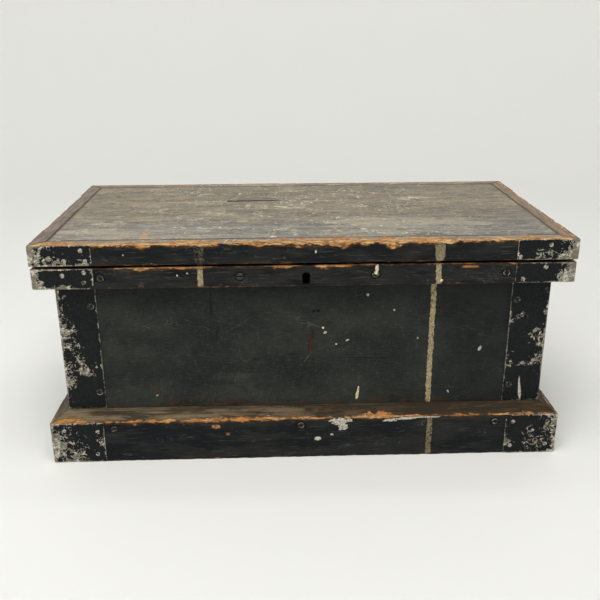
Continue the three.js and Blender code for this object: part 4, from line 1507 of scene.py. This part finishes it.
def leaf_screws(middle_x, y, level, direction):
    """Three screw heads that stand on a leaf's face, up or down."""
    heads = []
    for offset in (-22, 0, 22):
        points, faces = lathe([(0, -0.3), (2.6, -0.3), (2.7, 0.02), (2.3, 0.1), (0, 0.12)], 24)
        across, deep, up = points.T
        place = [middle_x + offset + across, y + direction * deep, level + direction * up]
        heads.append((np.stack(place, axis=1), faces))
    return heads


def hinge_leaf(side, kind, body):
    node = f"hinge_{side}_{kind}_leaf"
    pin_low, pin_high = box_mm(f"hinge_{side}_pin")
    axis = (pin_low + pin_high) / 2
    low, high = box_mm(node)
    is_lid = kind == "lid"
    bottom = axis[2] + (LEAF_GAP if is_lid else -LEAF_GAP - LEAF_THICKNESS)
    half = LID_LEAF_HALF_LENGTH if is_lid else (high[0] - low[0]) / 2
    leaf_back = axis[1] - BARREL_RADIUS - 0.4
    outline = rectangle(axis[0] - half, low[1], axis[0] + half, leaf_back)
    sheet = prism(outline, bottom, bottom + LEAF_THICKNESS)
    leaf = new_piece(f"{node}_iron", *sheet, [DARK_IRON], smooth=False)
    bevel = leaf.modifiers.new("soft_edges", "BEVEL")
    bevel.width = 0.2 * MM
    bevel.segments = 2
    bake_modifiers(leaf)
    offsets = (0,) if is_lid else (-KNUCKLE, KNUCKLE)
    rolled = joined(knuckles(axis, offsets, leaf_back, bottom))
    barrel = new_piece("barrel", *rolled, [DARK_IRON], smooth=False)
    face, direction = (bottom, -1) if is_lid else (bottom + LEAF_THICKNESS, 1)
    heads = leaf_screws(axis[0], low[1] + LEAF_SCREWS_IN, face, direction)
    screws = new_piece("leaf_screws", *joined(heads), [DARK_IRON], smooth=False)
    join_pieces(leaf, [barrel, screws])
    leaf.data.shade_smooth()
    sharpen(leaf)
    stand_for(leaf, body, "ironwork", node)


def join_pieces(target, others):
    with bpy.context.temp_override(active_object=target, selected_editable_objects=[target, *others]):
        bpy.ops.object.join()


def sharpen(piece, degrees=32):
    """Marks the edges that are too sharp to be shaded smooth."""
    mesh = bmesh.new()
    mesh.from_mesh(piece.data)
    limit = math.radians(degrees)
    for edge in mesh.edges:
        edge.smooth = len(edge.link_faces) == 2 and edge.calc_face_angle(0) < limit
    mesh.to_mesh(piece.data)
    mesh.free()


def make_hinges():
    for side in ("left", "right"):
        hinge_leaf(side, "band", "chest")
        hinge_leaf(side, "lid", "lid")
        low, high = box_mm(f"hinge_{side}_pin")
        half = (high[0] - low[0]) / 2
        profile = [(0, -half), (PIN_RADIUS - 0.4, -half), (PIN_RADIUS, 0.4 - half), (PIN_RADIUS, half - 0.4),
                   (PIN_RADIUS - 0.4, half), (0, half)]
        points, faces = lathe(profile, 32)
        points = along_x(points, (low + high) / 2)
        pin = new_piece(f"hinge_{side}_pin_iron", points, faces, [DARK_IRON])
        sharpen(pin)
        stand_for(pin, "chest", "ironwork", f"hinge_{side}_pin")


def dress_cad_piece(node, material, bevel_width):
    """Gives a CAD piece that stays in view a material and softened edges."""
    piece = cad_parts[node]
    piece.data.materials.clear()
    piece.data.materials.append(material)
    bevel = piece.modifiers.new("soft_edges", "BEVEL")
    bevel.width = bevel_width * MM
    bevel.segments = 2
    bevel.limit_method = "ANGLE"
    bevel.harden_normals = True


def make_lock():
    for node in ("lock_case", "lock_cover", "lock_bolt", "lock_link_plate"):
        dress_cad_piece(node, DARK_IRON, 0.2)
    cover_back = box_mm("lock_cover")[1][1]
    solids = []
    for x, z in itertools.product((-32, 32), (176, 208)):
        points, faces = lathe([(0, -0.3), (2.4, -0.3), (2.5, 0.05), (2.1, 0.3), (0, 0.38)], 24)
        turned_in = np.stack([x - points[:, 0], cover_back + points[:, 2], z + points[:, 1]], axis=1)
        solids.append((turned_in, faces))
    piece = new_piece("lock_cover_screws", *joined(solids), [DARK_IRON])
    stand_for(piece, "chest", "ironwork")


make_hinges()
make_lock()

# ---- Spilt paint ----------------------------------------------------------------------------


def blob(x, z, half_width, half_height, out, lean=0.0, thickness=0.35, seed=1, point_up=0.0, ragged=0.2):
    """A drop of dried paint on the front. point_up narrows its upper end."""
    around = 36
    rings = ((0.55, 0.95), (0.85, 0.6), (1.0, 0.0), (0.98, -1.2))  # how far out, how high
    points = [(0, 0, thickness)]
    for reach, height in rings:
        for i in range(around):
            angle = i / around * math.tau
            ripple = 1 + ragged * float(noise(seed, np.array([9 + 2.4 * math.cos(angle)]),
                                              np.array([9 + 2.4 * math.sin(angle)]))[0])
            up = math.sin(angle) * reach * ripple
            narrow = 1 - point_up * (0.5 + 0.5 * up)
            across = math.cos(angle) * reach * ripple * narrow
            leaning = across * half_width + lean * up * half_height
            points.append((leaning, up * half_height, thickness * height))
    faces = [(0, 1 + i, 1 + (i + 1) % around) for i in range(around)]
    faces += ring_faces(around, len(rings))
    faces.append(tuple(1 + 3 * around + i for i in reversed(range(around))))
    return facing(np.array(points), 0, x, out, z), faces


def make_spilt_paint():
    band, body, plinth, rim = BAND_OUT - 0.15, BODY_OUT - 0.25, PLINTH_OUT - 0.15, RIM.outer[1] - 0.15
    angle = CENTRE_Y - box_mm("corner_angle_front_left")[0][1] - 0.25
    plate = CENTRE_Y - box_mm("plinth_plate_front_right")[0][1] - PLATE_INSET - 0.1
    cream = [
        blob(65.6, 199.4, 1.5, 4.2, band + 0.15, 0, 0.5, 1, -0.2),
        blob(65.2, 195.4, 2.0, 1.5, band + 0.15, 0, 0.5, 8, ragged=0.4),
        blob(52.2, 63.0, 2.2, 8.6, body, 0.16, 0.6, 2, 0.5),
        blob(110.5, 122.0, 1.0, 1.0, body, seed=3),
        blob(17.0, 134.5, 1.1, 1.1, body, seed=4),
        blob(19.0, 129.5, 1.6, 1.4, body, 0.4, seed=5),
        blob(126.8, 187.0, 1.3, 1.3, band, seed=6),
        blob(-119.2, 195.5, 0.8, 0.8, band, seed=7),
    ]
    white = [
        blob(60, 168, 1.2, 1.5, body, seed=11),
        blob(86, 152, 1.0, 1.0, body, seed=12),
        blob(173, 110, 1.6, 2.8, body, 0.4, seed=13),
        blob(144, 63, 1.0, 1.8, body, -0.4, seed=14),
        blob(30, 117, 1.0, 0.9, body, seed=15),
        blob(41, 121, 1.5, 1.1, body, 0.8, seed=16),
        blob(11.5, 21, 3.4, 2.0, plinth, seed=17),
        blob(25.5, 25.3, 1.7, 1.0, plinth, seed=18),
        blob(8.9, 217, 1.2, 1.7, rim, seed=19, point_up=0.5),
        blob(-167.0, 216, 0.75, 0.7, rim, seed=20),
        blob(-109.8, 197.5, 0.8, 0.8, band, seed=21),
        blob(33.4, 39.8, 8.5, 3.6, plinth, 0, 0.45, 22, ragged=0.5),
        blob(36.6, 34.3, 5.0, 4.4, plinth, 0.2, 0.45, 23, ragged=0.5),
        blob(28.0, 41.6, 5.0, 1.8, plinth, 0, 0.4, 24, ragged=0.5),
        blob(42.0, 41.0, 4.0, 2.2, plinth, 0, 0.4, 29, ragged=0.5),
        blob(84.0, 40.0, 7.0, 1.5, plinth, 0, 0.4, 25, ragged=0.4),
        blob(100.0, 41.9, 12.0, 1.2, plinth, 1.2, 0.4, 26, ragged=0.3),
        blob(120.0, 42.9, 16.0, 0.75, plinth, 0, 0.35, 27),
        blob(248.0, 37.6, 1.5, 1.1, plate, thickness=0.3, seed=31),
        blob(248.6, 30.4, 2.0, 0.8, plate, thickness=0.3, seed=32),
        blob(248.6, 25.4, 1.9, 1.2, plate, thickness=0.3, seed=33),
        blob(216.4, 65.5, 1.9, 14.0, angle, -0.12, 0.5, 28, 0.5),
    ]
    stand_for(new_piece("cream_paint_drips", *joined(cream), [CREAM_PAINT]), "chest", "body_wood")
    lid_spots = [solid for solid in white if solid[0][:, 2].min() > BAND.top]
    chest_spots = [solid for solid in white if solid[0][:, 2].min() <= BAND.top]
    stand_for(new_piece("lid_paint_spots", *joined(lid_spots), [WHITE_PAINT]), "lid", "trim_wood")
    stand_for(new_piece("white_paint_drips", *joined(chest_spots), [WHITE_PAINT]), "chest", "body_wood")


make_spilt_paint()
